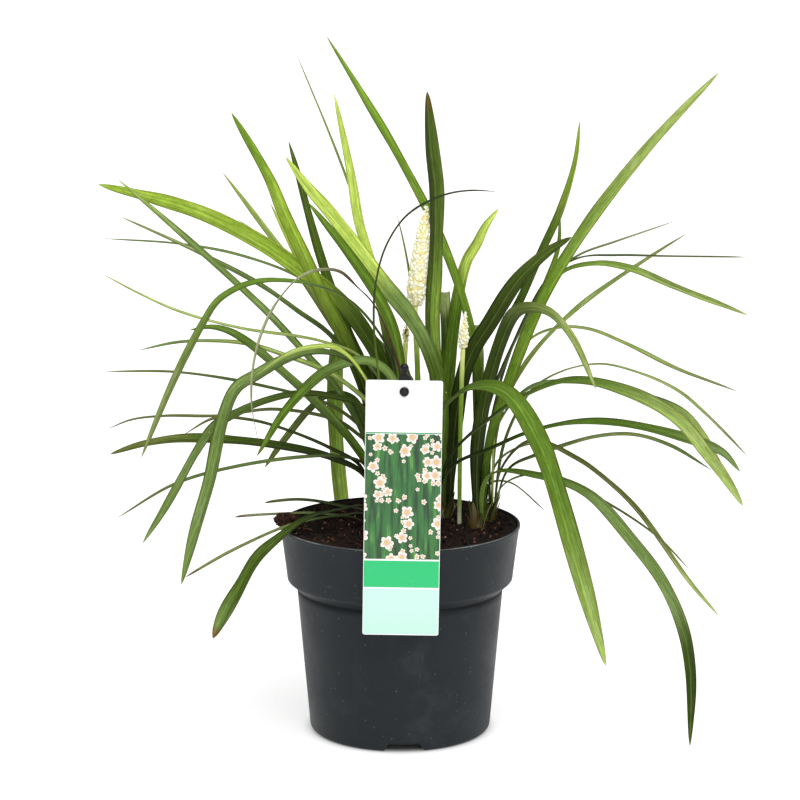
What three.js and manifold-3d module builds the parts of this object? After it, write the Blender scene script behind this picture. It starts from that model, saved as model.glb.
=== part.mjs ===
// A white-flowered lily turf (liriope) in a tapered nursery pot: arching grass-like blades in
// twelve tufts, one withered blade, three flower spikes, soil, and a hang card on a stake.
//
// Frame: millimetres, +Z up, the front is -Y. The origin is the centre of the pot's foot, on
// the surface that the pot stands on.

import * as THREE from 'three';
import { mergeVertices } from 'three/addons/utils/BufferGeometryUtils.js';
import Module from 'manifold-3d';

const wasm = await Module();
wasm.setup();

// ---------------------------------------------------------------- driving dimensions

const POT = {
  height: 149,
  footRadius: 64.3,
  footRound: 4.5,
  footWidth: 5,
  shoulderRadius: 72.8,
  shoulderHeight: 102,
  bandRadius: 79.8,
  bandHeight: 110,
  rimRadius: 84.2,
  lipRadius: 84.9,
  lipHeight: 2.2,
  wall: 1.6,
  floorUnder: 7,
  floor: 1.8,
  sides: 48,
};

const NOTCH = { count: 3, turn: 2.6, foot: 29, top: 22, height: 6, depth: 9 };

const SOIL = { level: 146, gap: 0.35, dome: 2, relief: 0.8, holeSides: 10, sides: 24 };

const CLUMP = { at: [-81, -3, 150.5], size: [9, 9, 6] };

const CARD = {
  width: 51.6,
  height: 175.3,
  thickness: 0.8,
  corner: 3,
  top: [3.0, -84.9, 266.6],
  bottom: [0.2, -87.6, 91.4],
  holeRadius: 2.7,
  holeBelowTop: 7.6,
};

const STAKE = {
  width: 5.4,
  thickness: 2.2,
  soilPoint: [1.6, -72.3, 146],
  pegPoint: [2.7, -82, 259],
  below: 88,
  above: 17.5,
  pegRadius: 2.2,
  headRadius: 3.2,
  headThickness: 1.6,
  slotGap: 0.4,
  cardGap: 0.35,
};

const BLADE = {
  thick: 0.8,
  edge: 0.6,
  groove: 0.13,
  baseShare: 0.52,
  tip: 1,
  bendWeight: 55,
  stepLength: 43,
  rootDepth: 6,
};

const CROWN = {
  radius: 6.2,
  neck: 4.4,
  depth: 15,
  height: 15,
  sides: 8,
  ring: 3.4,
  hole: 6.9,
  mouth: 11,
};

// The thin crown of the withered blade stands alone.
const DRY_CROWN = { radius: 2.6, neck: 1.8, height: 6, ring: 0.4, hole: 3.2, mouth: 5 };

// The plant is drawn as on an easel: a sheet that stands square to the line of sight of
// someone in front, through a point on the pot's axis. A station of a blade is the place
// where it is seen on that sheet, in millimetres across and up from that point, and then
// its true depth, which is its Y. A changed depth therefore leaves the front view as it is.
const EASEL = { aimHeight: 237, distance: 1914, pitch: 10.85 };

// ---------------------------------------------------------------- the blades

/**
 * One blade: its width, the share of its length where its taper begins, how far its upper
 * face is turned to the front at the root, in the middle and at the tip (degrees), and its
 * stations from the root out, as [across, up, depth].
 */
function blade(width, taperFrom, faces, ...stations) {
  return { width, taperFrom, faces, stations };
}

const TUFTS = [
  {
    name: 'tuft_left_front',
    at: [-8, -30],
    blades: [
      blade(10.5, 0.6, [0, 35, 75], [-20, 10, -38], [-40, 29, -41], [-62, 33, -43], [-80, 28, -46],
        [-100, 17, -50], [-114, 8, -55], [-123, -12, -60], [-133, -56, -70], [-143, -90, -74],
        [-153, -129, -76]),
      blade(5, 0.5, [20, 20, 50], [-10, -28, -34], [-24, 14, -44], [-45, 36, -52], [-74, 34, -58],
        [-101, 17, -62]),
      blade(9, 0.5, [40, 50, 60], [1, -14, -27], [-1, 28, -25], [-8, 57, -25], [-20, 79, -25],
        [-38, 105, -26], [-64, 138, -26]),
      blade(5, 0.5, [0, 0, 0], [-12, -10, -38], [-18, 55, -43], [-16, 86, -45], [-8, 111, -46],
        [6, 130, -47], [30, 143, -48], [48, 146.5, -48], [67, 146, -48]),
    ],
  },
  {
    name: 'tuft_left_low',
    at: [-18, -8],
    blades: [
      blade(10.5, 0.75, [20, 45, 70], [-25, -75, -14], [-42, -77, -21], [-65, -83, -34],
        [-86, -98, -46], [-100, -111, -54], [-113, -133, -64], [-125, -154, -74],
        [-131, -167, -80]),
      blade(4, 0.8, [10, 10, 10], [-31, -83, -14], [-70, -86, -22], [-112, -103, -36],
        [-150, -124, -50]),
      blade(5.5, 0.5, [10, 10, 10], [-25, -46, -14], [-42, -40, -18], [-63, -40, -22],
        [-112, -46.5, -30], [-157, -59, -38], [-197, -82, -44]),
      blade(7.5, 0.65, [10, 25, 60], [-24, -8, -12], [-48, 2, -14], [-71, 4, -18], [-94, -1, -27],
        [-113, -9, -38], [-130, -19, -48], [-142, -36, -54], [-156, -61, -61], [-167, -80, -65],
        [-180, -100, -68]),
      blade(4, 0.5, [20, 20, 20], [-27, -48, -4], [-49, -34, 0], [-83, -20, 2], [-106, -14, 4],
        [-130, -13, 4], [-151, -24, 4]),
      blade(7.5, 0.5, [40, 45, 50], [-21, -52, -8], [-35, -28, -4], [-60, -1, -1], [-83, 20, 0],
        [-105, 39, 2], [-120, 48, 2], [-133, 51, 2], [-147, 49, 0]),
    ],
  },
  {
    name: 'tuft_left',
    at: [-16, 20],
    blades: [
      blade(4.5, 0.85, [5, 5, 5], [-25, -80, 15], [-42, -81, 12], [-62, -79.5, 10], [-85, -80, 10],
        [-116, -82, 10]),
      blade(4.5, 0.85, [10, 10, 10], [-25, -78, 22], [-42, -74.5, 26], [-56, -71.5, 29],
        [-72, -70, 31], [-95, -72, 32]),
      blade(9.5, 0.65, [10, 25, 30], [-25, -54, 12], [-47, -41.5, 14], [-83, -33, 17],
        [-121, -28.5, 20], [-152, -27.5, 20], [-178, -31, 18], [-203, -38, 16]),
      blade(6, 0.5, [30, 40, 50], [-24, -31, 24], [-43, 6, 26], [-68, 34, 28], [-91, 59, 30],
        [-112, 79, 33], [-154, 117, 38], [-197, 154, 44]),
      blade(10.5, 0.5, [50, 60, 60], [-20, -14, 22], [-34, 31, 22], [-53, 70, 26], [-68, 101, 28],
        [-82, 131, 29], [-92, 155, 30], [-118, 201, 30]),
      blade(7.5, 0.6, [20, 40, 60], [-24, -22, 32], [-34, 0, 46], [-50, 3, 58], [-63, -7, 66],
        [-75, -21, 72], [-86, -35, 76], [-94.5, -47, 78]),
    ],
  },
  {
    name: 'tuft_left_back',
    at: [-2, 46],
    blades: [
      blade(6, 0.5, [20, 20, 20], [-22, 4, 58], [-48, 44, 66], [-72, 62, 70], [-96, 79, 74],
        [-135, 100, 78], [-195, 128, 86]),
      blade(8, 0.5, [50, 50, 50], [-14, -14, 48], [-29, 29, 50], [-46, 70, 57], [-56, 100, 60],
        [-64, 128, 62], [-73, 163, 61], [-78, 181, 60]),
      blade(12, 0.7, [0, 0, 0], [-20, 0, 68], [-34, 37, 99], [-40, 46, 116], [-44, 30, 129],
        [-45, -10, 138], [-43, -45, 143], [-40, -75, 146], [-36, -118, 147]),
      blade(8, 0.5, [0, 0, 0], [-6, -40, 66], [-10, 0, 96], [-14, -5, 124], [-16, -60, 144]),
    ],
  },
  {
    name: 'tuft_front',
    at: [20, -28],
    blades: [
      blade(9, 0.5, [20, 35, 60], [10, -22, -34], [0, 2, -35], [-10, 20, -33], [-24, 27, -29],
        [-49, 21, -26], [-77, -4, -30], [-100, -39, -36]),
      blade(12, 0.5, [50, 55, 60], [28, 0, -22], [21, 31, -16], [8, 56, -12], [-10, 79, -10],
        [-31, 107, -8], [-51, 133, -6], [-64, 148, -5], [-80, 170, -4]),
      blade(15, 0.52, [0, 30, 75], [19, -49, -34], [25, -16, -42], [42, 4, -52], [60, 9, -59],
        [73, 5, -64], [83, -5, -68], [97, -30, -76], [103, -45, -82], [123, -111, -110],
        [144, -186, -140]),
      blade(12, 0.6, [0, 10, 70], [35, -41, -34], [63, -14, -38], [91, 4, -40], [121, 13, -43],
        [162, 4, -52], [194, -14, -68], [214, -37, -80], [227, -54, -90], [240, -74, -104]),
      blade(8.5, 0.7, [0, 10, 60], [35, -49, -32], [63, -35, -34], [91, -23, -35], [121, -16.5, -37],
        [152, -16.5, -39], [193, -25, -46], [224, -36, -62], [238, -50, -80]),
    ],
  },
  {
    name: 'tuft_middle',
    at: [8, -4],
    blades: [
      blade(8.5, 0.5, [40, 0, 55], [0, 0, -8], [-10, 38, -12], [-35, 69, -18], [-60, 80, -21],
        [-83, 83, -24], [-98, 82.5, -28], [-112, 78.5, -33], [-127, 69, -38], [-137, 54, -43],
        [-156, 18, -52], [-181, -40, -60]),
      blade(5, 0.5, [0, 10, 10], [4, -35, -4], [-7, 0, -3], [-27, 29, -3], [-56, 41, -4],
        [-112, 50, -6], [-154, 61.5, -5], [-182, 74, -3], [-208, 88, 0]),
      blade(6, 0.5, [20, 20, 20], [-10, -20, 0], [-42, 14, 8], [-84, 32, 16], [-108, 39, 19],
        [-135, 41, 21], [-157, 40, 22], [-182, 35, 22]),
      blade(5.5, 0.5, [10, 10, 10], [-3, -42, 0], [-20, -32, 3], [-42, -16, 9], [-62, -10, 12],
        [-91, -7, 16], [-127, -11.5, 22], [-165, -11.5, 28], [-188, -14, 32], [-204, -20, 34]),
    ],
  },
  {
    name: 'tuft_middle_back',
    at: [12, 28],
    blades: [
      blade(12, 0.5, [40, 60, 70], [0, -21, 32], [-10, 17, 36], [-22, 42, 40], [-42, 69, 44],
        [-70, 91, 50], [-98, 110, 62], [-140, 131, 88], [-211, 151, 150]),
      blade(5, 0.5, [10, 10, 10], [-10, -42, 32], [-26, -21, 38], [-49, -4, 42], [-99, 10, 50],
        [-154, 19, 58], [-206, 20, 66]),
      blade(8, 0.5, [50, 60, 60], [1, -21, 28], [-8, 39, 30], [-22, 100, 34], [-29, 124, 35],
        [-35, 159, 36], [-46, 214, 34]),
      blade(5, 0.5, [0, 0, 0], [11, -21, 24], [10, 49, 22], [6, 89, 21], [2, 112, 20],
        [-2, 129, 20]),
    ],
  },
  {
    name: 'tuft_back',
    at: [34, 50],
    blades: [
      blade(5, 0.5, [0, 5, 10], [0, 14, 62], [-24, 50, 74], [-70, 85, 88], [-112, 101, 98],
        [-154, 109, 112], [-207, 113, 132]),
      blade(6, 0.5, [30, 40, 40], [0, 0, 62], [-35, 35, 77], [-70, 87, 94], [-91, 115, 100],
        [-124, 159, 104]),
      blade(4, 0.5, [20, 20, 20], [10, 10, 72], [-40, 64, 92], [-80, 103, 106], [-103, 119, 111],
        [-114, 126.5, 113]),
      blade(6, 0.5, [30, 40, 40], [-10, 0, 64], [-38, 42, 68], [-66, 88, 70], [-80, 115, 68],
        [-91, 138, 66]),
      blade(5, 0.5, [0, 0, 0], [18, -21, 56], [-4, 49, 60], [-34, 144, 66], [-48, 182, 68],
        [-72, 241, 70]),
      blade(9, 0.6, [40, 50, 60], [32, -21, 54], [36, 39, 58], [41, 75, 61], [47, 98, 63],
        [54, 110, 64], [60, 122, 65], [69, 134, 66]),
      blade(8, 0.5, [0, 0, 0], [33, 0, 66], [32, 57, 90], [31, 75, 118], [32, 50, 142],
        [33, -10, 147]),
      blade(8, 0.5, [0, 0, 0], [28, -40, 70], [24, 2, 100], [18, -8, 130], [14, -60, 147]),
    ],
  },
  {
    name: 'tuft_right',
    at: [31, 20],
    blades: [
      blade(11.5, 0.75, [0, 0, 0], [28, -28, 14], [22, 56, 3], [24, 94, 0], [25, 126, -2],
        [25, 148, -2], [22, 176, -2], [20, 200, -2], [19, 216, -2]),
      blade(11.5, 0.65, [-40, -50, -55], [39, -14, 16], [48, 28, 14], [64, 55, 13], [83, 84, 12],
        [103, 103, 11], [120, 114, 10]),
    ],
  },
  {
    name: 'tuft_right_front',
    at: [54, -10],
    blades: [
      blade(9, 0.5, [40, 55, 60], [62, -35, -8], [75, 8, -5], [99, 68, 0], [113, 94, 3],
        [139, 133, 6], [169, 171, 8], [196, 201, 10], [223, 229, 12]),
      blade(10.5, 0.5, [-30, 0, 50], [55, -28, -16], [70, 38, -24], [83, 62, -32], [102, 62, -42],
        [119, 45, -50], [137, 8, -54]),
      blade(7, 0.5, [5, 15, 40], [68, -20, 2], [91, 8, -1], [123, 12, -8], [161, 5, -16],
        [197, -8, -28], [212, -24, -40], [222, -42, -48], [234, -63, -56]),
      blade(9.5, 0.55, [0, 30, 60], [63, -53, -14], [98, -54, -28], [131, -66, -46], [162, -99, -70],
        [183, -127, -88], [197, -158, -106], [203, -190, -126], [203, -242, -150]),
    ],
  },
  {
    name: 'tuft_right_back',
    at: [56, 34],
    blades: [
      blade(7, 0.5, [40, 50, 50], [57, -21, 34], [68, 36, 36], [87, 75, 36], [100, 105, 36],
        [113, 134, 36], [123, 168, 35], [126, 195, 34]),
      blade(5, 0.5, [20, 30, 30], [67, -14, 46], [84, 39, 62], [103, 84, 76], [111, 107, 79],
        [112, 133, 80]),
      blade(5, 0.5, [0, 0, 0], [63, -21, 40], [81, 42, 50], [106, 86, 58], [125, 101, 60],
        [152, 111, 64], [192, 125, 68]),
      blade(5, 0.6, [0, 0, 0], [60, -14, 40], [85, 50, 38], [107, 88, 34], [126, 99.5, 28],
        [150, 101, 14], [186, 100.5, -22], [243, 100, -88]),
      blade(8, 0.5, [40, 50, 50], [55, -21, 36], [49, 49, 38], [30, 108, 36], [-1, 170, 34],
        [-51, 254, 34]),
      blade(8, 0.5, [0, 0, 0], [55, -14, 52], [54, 39, 84], [53, 52, 110], [55, 35, 136],
        [57, -21, 146]),
      blade(4, 0.5, [0, 0, 0], [63, -59, 40], [77, -58, 44], [101, -77, 52]),
      blade(4, 0.5, [0, 0, 0], [69, -43, 38], [91, -31, 42], [104, -32, 44]),
    ],
  },
  {
    name: 'tuft_right_low',
    at: [62, 12],
    blades: [
      blade(7, 0.6, [10, 25, 45], [66, -14, 18], [90, 50, 20], [113, 88, 16], [136, 95, 6],
        [160, 92, -8], [192, 79, -36], [243, 59.5, -104]),
      blade(5, 0.5, [20, 30, 30], [70, -14, 20], [88, 25, 24], [123, 63, 26], [175, 100, 20],
        [200, 116, 16]),
      blade(5.5, 0.5, [10, 10, 20], [70, 0, 10], [90, 41, 12], [110, 50, 10], [131, 49.5, 6],
        [156, 40, -2], [193, 22, -20], [236, 6, -60]),
      blade(4.5, 0.5, [0, 0, 0], [74, -28, 12], [93, 7, 16], [115, 20.5, 12], [140, 25, 4],
        [165, 19.5, -12], [194, 6.5, -40], [214, -10, -66], [243, -39, -116]),
      blade(5, 0.5, [10, 10, 10], [76, -49, 18], [95, -39, 22], [112, -33, 22], [137, -26, 18],
        [163, -24.5, 14], [189, -32, 8], [218, -49, 0]),
      blade(6, 0.5, [10, 20, 40], [72, -47, 14], [92, -29, 10], [123, -41, 4], [144, -56, 0],
        [165, -76, -4], [203, -128, -10], [223, -151, -12]),
      blade(5, 0.5, [0, 0, 0], [72, -60, 8], [102, -52, 2], [139, -69, -8], [179, -95, -14],
        [202, -118, -18]),
    ],
  },
];

const DRY_BLADE = {
  name: 'withered_blade',
  at: [6, -46],
  blades: [
    blade(3.5, 0.6, [0, 40, 60], [4, 0, -46], [-10, 50, -53], [-20, 69, -55], [-31, 80, -56],
      [-42, 90, -57], [-55, 91.5, -57], [-70, 86, -58], [-85, 70, -61], [-95, 52, -64],
      [-102, 28, -67], [-104, 0, -69], [-99, -31, -70]),
  ],
};

// ---------------------------------------------------------------- the flower spikes

// A head's profile is [share of its height, radius]; rings of buds stand out of its core.
const SPIKES = [
  {
    name: 'spike_tall',
    at: [14, 10],
    scapeRadius: 1.8,
    scape: [[14, -28, 10], [12, 28, 10], [10.5, 66, 9]],
    top: [18.5, 137, 8],
    profile: [[0, 4.4], [0.14, 6.6], [0.36, 6.6], [0.57, 5.9], [0.76, 4.5], [0.9, 2.6], [1, 0.9]],
    budRadius: 2.5,
    rings: 11,
    budPitch: 4.2,
  },
  {
    name: 'spike_short',
    at: [42, 3],
    scapeRadius: 1.5,
    scape: [[42, -40, 3], [43, 7, 2], [44, 36, 1]],
    top: [46, 62, 0],
    profile: [[0, 2.2], [0.3, 2.9], [0.6, 2.5], [0.85, 1.4], [1, 0.6]],
    budRadius: 1.7,
    rings: 5,
    budPitch: 2.8,
  },
  {
    name: 'spike_young',
    at: [2, 12],
    scapeRadius: 1.5,
    scape: [[2, -28, 11], [3, 14, 10], [4, 41, 9]],
    top: [4.5, 53, 9],
    profile: [[0, 1.5], [0.35, 2.3], [0.7, 1.9], [1, 0.7]],
    budRadius: 1.3,
    rings: 2,
    budPitch: 3,
  },
];

const HEAD_GAP = 0.6;

// ---------------------------------------------------------------- solids and meshes

/** A closed geometry as a solid: its vertices merged and its empty triangles left out. */
function solid(geometry) {
  const bare = geometry.clone();
  bare.deleteAttribute('normal');
  bare.deleteAttribute('uv');
  const merged = mergeVertices(bare, 1e-4);
  const corners = [];
  const index = merged.index.array;
  for (let i = 0; i < index.length; i += 3) {
    const [a, b, c] = index.slice(i, i + 3);
    if (a !== b && b !== c && c !== a) corners.push(a, b, c);
  }
  return new wasm.Manifold(new wasm.Mesh({
    numProp: 3,
    vertProperties: Float32Array.from(merged.attributes.position.array),
    triVerts: Uint32Array.from(corners),
  }));
}

/** A solid without its sealed hollows and loose scraps: the largest of its bodies. */
function mainBody(body) {
  return body.decompose().reduce((best, one) => (one.volume() > best.volume() ? one : best));
}

/** A solid's surface as a flat-shaded geometry. */
function surface(body) {
  const mesh = body.getMesh();
  const geometry = new THREE.BufferGeometry();
  geometry.setAttribute('position', new THREE.BufferAttribute(mesh.vertProperties, 3));
  geometry.setIndex(new THREE.BufferAttribute(mesh.triVerts, 1));
  return geometry;
}

/** A profile of [radius, height] pairs, turned about the pot's axis. */
function turned(profile, sides) {
  const points = profile.map(([radius, height]) => new THREE.Vector2(radius, height));
  return new THREE.LatheGeometry(points, sides).rotateX(Math.PI / 2);
}

/** An upright cylinder or cone from one height to another. */
function upright(x, y, low, high, lowRadius, highRadius, sides) {
  const geometry = new THREE.CylinderGeometry(highRadius, lowRadius, high - low, sides);
  return geometry.rotateX(Math.PI / 2).translate(x, y, (low + high) / 2);
}

function smoothStep(from, to, value) {
  const share = THREE.MathUtils.clamp((value - from) / (to - from), 0, 1);
  return share * share * (3 - 2 * share);
}

// ---------------------------------------------------------------- pot

/** The inner radius of the pot's wall at a height. */
function innerRadius(height) {
  const steps = [
    [0, POT.footRadius],
    [POT.shoulderHeight, POT.shoulderRadius],
    [POT.bandHeight, POT.bandRadius],
    [POT.height, POT.rimRadius],
  ];
  for (let i = 1; i < steps.length; i += 1) {
    const [low, lowRadius] = steps[i - 1];
    const [high, highRadius] = steps[i];
    if (height <= high) {
      const share = (height - low) / (high - low);
      return THREE.MathUtils.lerp(lowRadius, highRadius, share) - POT.wall;
    }
  }
  return POT.rimRadius - POT.wall;
}

function makePot() {
  const ringInner = POT.footRadius - POT.footRound - POT.footWidth;
  const profile = [[0, POT.floorUnder], [ringInner - 1.5, POT.floorUnder], [ringInner, 0]];
  const arcSteps = 4;
  for (let i = 0; i <= arcSteps; i += 1) {
    const turn = (i / arcSteps) * (Math.PI / 2);
    profile.push([
      POT.footRadius - POT.footRound + POT.footRound * Math.sin(turn),
      POT.footRound * (1 - Math.cos(turn)),
    ]);
  }
  profile.push([POT.shoulderRadius, POT.shoulderHeight]);
  profile.push([POT.bandRadius - 1.2, POT.bandHeight - 1.2]);
  profile.push([POT.bandRadius, POT.bandHeight + 0.8]);
  profile.push([POT.rimRadius, POT.height - POT.lipHeight]);
  profile.push([POT.lipRadius, POT.height - POT.lipHeight + 0.5]);
  profile.push([POT.lipRadius, POT.height - 0.4]);
  profile.push([POT.lipRadius - 0.5, POT.height]);
  profile.push([innerRadius(POT.height), POT.height]);
  profile.push([innerRadius(POT.bandHeight), POT.bandHeight]);
  profile.push([innerRadius(POT.shoulderHeight), POT.shoulderHeight]);
  const floorTop = POT.floorUnder + POT.floor;
  profile.push([innerRadius(floorTop), floorTop]);
  profile.push([0, floorTop]);
  let pot = solid(turned(profile, POT.sides));
  for (let i = 0; i < NOTCH.count; i += 1) {
    pot = pot.subtract(solid(notchCutter(i)));
  }
  return surface(pot);
}

/** A drainage notch: a slot with sloped sides through the foot ring. */
function notchCutter(i) {
  const outline = new THREE.Shape();
  outline.moveTo(-NOTCH.foot / 2 - 1, -1);
  outline.lineTo(NOTCH.foot / 2 + 1, -1);
  outline.lineTo(NOTCH.top / 2, NOTCH.height);
  outline.lineTo(-NOTCH.top / 2, NOTCH.height);
  outline.closePath();
  const reach = POT.footRound + POT.footWidth + NOTCH.depth;
  const cutter = new THREE.ExtrudeGeometry(outline, { depth: reach, bevelEnabled: false });
  cutter.rotateX(Math.PI / 2).translate(0, -POT.footRadius - 2 + reach, 0);
  const turn = NOTCH.turn + (i * 360) / NOTCH.count;
  return cutter.rotateZ(THREE.MathUtils.degToRad(turn));
}

// ---------------------------------------------------------------- soil

/** The height of the soil's surface: a low dome, uneven by a few slow waves. */
function soilHeight(x, y) {
  const reach = Math.hypot(x, y) / POT.rimRadius;
  const waves = Math.sin(x * 0.19 + 1.3) * Math.cos(y * 0.23 - 0.7)
    + 0.6 * Math.sin(x * 0.41 + y * 0.37)
    + 0.4 * Math.cos(x * 0.73 - y * 0.52 + 2);
  return SOIL.level + SOIL.dome * (1 - reach * reach) + SOIL.relief * waves * (1 - reach ** 4);
}

function makeSoil(stemHoles) {
  const bottom = POT.floorUnder + POT.floor + SOIL.gap;
  const topRadius = innerRadius(SOIL.level) - SOIL.gap;
  const profile = [[0, bottom], [innerRadius(bottom) - SOIL.gap, bottom]];
  for (const height of [POT.shoulderHeight, POT.bandHeight, SOIL.level]) {
    profile.push([innerRadius(height) - SOIL.gap, height]);
  }
  for (const share of [0.9, 0.7, 0.5, 0.3, 0.14, 0]) {
    profile.push([topRadius * share, SOIL.level + 1]);
  }
  const geometry = turned(profile, SOIL.sides);
  const place = geometry.attributes.position;
  for (let i = 0; i < place.count; i += 1) {
    if (place.getZ(i) > SOIL.level + 0.5) {
      place.setZ(i, soilHeight(place.getX(i), place.getY(i)));
    }
  }
  let soil = solid(geometry);
  soil = soil.add(makeClump());
  for (const hole of stemHoles) soil = soil.subtract(hole);
  return surface(soil);
}

/** A clump of soil that lies over the rim on the left, just clear of the pot's edge. */
function makeClump() {
  const lump = new THREE.IcosahedronGeometry(1, 1);
  const place = lump.attributes.position;
  const point = new THREE.Vector3();
  for (let i = 0; i < place.count; i += 1) {
    point.fromBufferAttribute(place, i);
    const wave = Math.sin(point.x * 5 + 1) * Math.cos(point.y * 6);
    const bump = 1 + 0.1 * wave + 0.07 * Math.sin(point.z * 9);
    place.setXYZ(i, point.x * bump, point.y * bump, point.z * bump);
  }
  lump.scale(...CLUMP.size).translate(...CLUMP.at);
  const inner = innerRadius(SOIL.level) - 2 * SOIL.gap;
  const rimTop = POT.height + SOIL.gap;
  const outer = POT.rimRadius + 40;
  const section = [[inner, 100], [outer, 100], [outer, rimTop], [inner, rimTop], [inner, 100]];
  return solid(lump).subtract(solid(turned(section, POT.sides)));
}

// ---------------------------------------------------------------- easel

const pitch = THREE.MathUtils.degToRad(EASEL.pitch);
const eye = new THREE.Vector3(
  0,
  -EASEL.distance * Math.cos(pitch),
  EASEL.aimHeight + EASEL.distance * Math.sin(pitch),
);

/** Carries a drawn station along its sight line to its true depth. */
function carried([across, up, depth]) {
  const drawn = new THREE.Vector3(
    across,
    up * Math.sin(pitch),
    EASEL.aimHeight + up * Math.cos(pitch),
  );
  const share = (depth - eye.y) / (drawn.y - eye.y);
  return new THREE.Vector3().lerpVectors(eye, drawn, share);
}

// ---------------------------------------------------------------- blades and tufts

/** Where along a curve to put a blade's rings: closer together where it bends. */
function ringShares(curve) {
  const fine = 160;
  const weights = [0];
  let before = curve.getTangentAt(0);
  for (let i = 1; i <= fine; i += 1) {
    const tangent = curve.getTangentAt(i / fine);
    const turn = before.angleTo(tangent);
    weights.push(weights[i - 1] + curve.getLength() / fine + BLADE.bendWeight * turn);
    before = tangent;
  }
  const count = Math.max(5, Math.round(weights[fine] / BLADE.stepLength));
  const shares = [];
  for (let k = 0; k <= count; k += 1) {
    const goal = (weights[fine] * k) / count;
    let i = 1;
    while (i < fine && weights[i] < goal) i += 1;
    const part = (goal - weights[i - 1]) / (weights[i] - weights[i - 1]);
    shares.push(Math.min(1, (i - 1 + part) / fine));
  }
  return shares;
}

/** A blade's width at a share of its length: narrow at the root, then a long taper. */
function bladeWidth(width, taperFrom, share) {
  const base = BLADE.baseShare + (1 - BLADE.baseShare) * smoothStep(0, 0.35, share);
  const out = Math.max(0, (share - taperFrom) / (1 - taperFrom));
  const taper = (1 - out ** 2.6) ** 0.7;
  return Math.max(BLADE.tip, width * base * taper);
}

/** The middle line of a blade, from its root in the crown through its stations. */
function bladeCurve(at, ring, stations) {
  const points = stations.map(carried);
  const away = new THREE.Vector3(points[0].x - at[0], points[0].y - at[1], 0);
  if (away.length() < 1) away.set(points[1].x - at[0], points[1].y - at[1], 0);
  away.normalize();
  const root = new THREE.Vector3(
    at[0] + ring * away.x,
    at[1] + ring * away.y,
    SOIL.level - BLADE.rootDepth,
  );
  return new THREE.CatmullRomCurve3([root, ...points], false, 'centripetal');
}

/** The frame at a share of a blade: place, width direction and upper normal. */
function bladeFrame(curve, across, faces, share) {
  const [low, middle, high] = faces;
  const face = share < 0.5
    ? THREE.MathUtils.lerp(low, middle, share * 2)
    : THREE.MathUtils.lerp(middle, high, share * 2 - 1);
  const turn = THREE.MathUtils.degToRad(face);
  const tangent = curve.getTangentAt(share);
  const natural = new THREE.Vector3().crossVectors(across, tangent).normalize();
  const front = new THREE.Vector3(0, -1, 0).addScaledVector(tangent, tangent.y);
  const normal = natural.multiplyScalar(Math.cos(turn));
  normal.addScaledVector(front, Math.sin(turn)).normalize();
  const side = new THREE.Vector3().crossVectors(tangent, normal);
  return { place: curve.getPointAt(share), side, normal };
}

/** A blade as one closed body: rings of six corners that form a shallow groove. */
function bladeGeometry(at, ring, { width, taperFrom, faces, stations }) {
  const curve = bladeCurve(at, ring, stations);
  const reach = curve.getPointAt(1).sub(curve.getPointAt(0)).setZ(0).normalize();
  const across = new THREE.Vector3(reach.y, -reach.x, 0);
  const corners = [];
  const shares = ringShares(curve);
  for (const share of shares) {
    const { place, side, normal } = bladeFrame(curve, across, faces, share);
    const half = bladeWidth(width, taperFrom, share) / 2;
    const raised = BLADE.groove * half * 2;
    const ring = [
      [-half, raised + BLADE.edge / 2],
      [0, BLADE.thick / 2],
      [half, raised + BLADE.edge / 2],
      [half, raised - BLADE.edge / 2],
      [0, -BLADE.thick / 2],
      [-half, raised - BLADE.edge / 2],
    ];
    for (const [out, lift] of ring) {
      corners.push(place.clone().addScaledVector(side, out).addScaledVector(normal, lift));
    }
  }
  return ringedGeometry(corners, shares.length - 1);
}

/** Joins rings of six corners: both faces are split along the same diagonals. */
function ringedGeometry(corners, count) {
  const faces = [];
  const quad = (a, b, c, d) => faces.push(a, b, c, a, c, d);
  for (let k = 0; k < count; k += 1) {
    const leftTop = 6 * k;
    const middleTop = leftTop + 1;
    const rightTop = leftTop + 2;
    const rightLow = leftTop + 3;
    const middleLow = leftTop + 4;
    const leftLow = leftTop + 5;
    quad(leftTop, middleTop, middleTop + 6, leftTop + 6);
    quad(middleTop, rightTop, rightTop + 6, middleTop + 6);
    quad(rightTop, rightLow, rightLow + 6, rightTop + 6);
    faces.push(rightLow, middleLow + 6, rightLow + 6, rightLow, middleLow, middleLow + 6);
    faces.push(middleLow, leftLow + 6, middleLow + 6, middleLow, leftLow, leftLow + 6);
    faces.push(leftLow, leftTop + 6, leftLow + 6, leftLow, leftTop, leftTop + 6);
  }
  const end = 6 * count;
  for (let i = 2; i < 6; i += 1) {
    const next = (i + 1) % 6;
    faces.push(1, next, i);
    faces.push(end + 1, end + i, end + next);
  }
  const geometry = new THREE.BufferGeometry().setFromPoints(corners);
  geometry.setIndex(faces);
  return geometry;
}

/** A tuft: a short crown that stands in the soil, with its blades sunk well into it. */
function makeTuft({ at, blades }, crown) {
  const [x, y] = at;
  const low = SOIL.level - CROWN.depth;
  const high = SOIL.level + crown.height;
  let tuft = solid(upright(x, y, low, high, crown.radius, crown.neck, CROWN.sides));
  for (const one of blades) tuft = tuft.add(solid(bladeGeometry(at, crown.ring, one)));
  return surface(mainBody(tuft));
}

/** The plain hole in the soil that a crown or a stem stands in, wider at its mouth. */
function stemHole([x, y], radius, mouth) {
  const low = SOIL.level - CROWN.depth - SOIL.gap;
  return solid(upright(x, y, low, SOIL.level + 5, radius, mouth, SOIL.holeSides));
}

// ---------------------------------------------------------------- flower spikes

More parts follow.
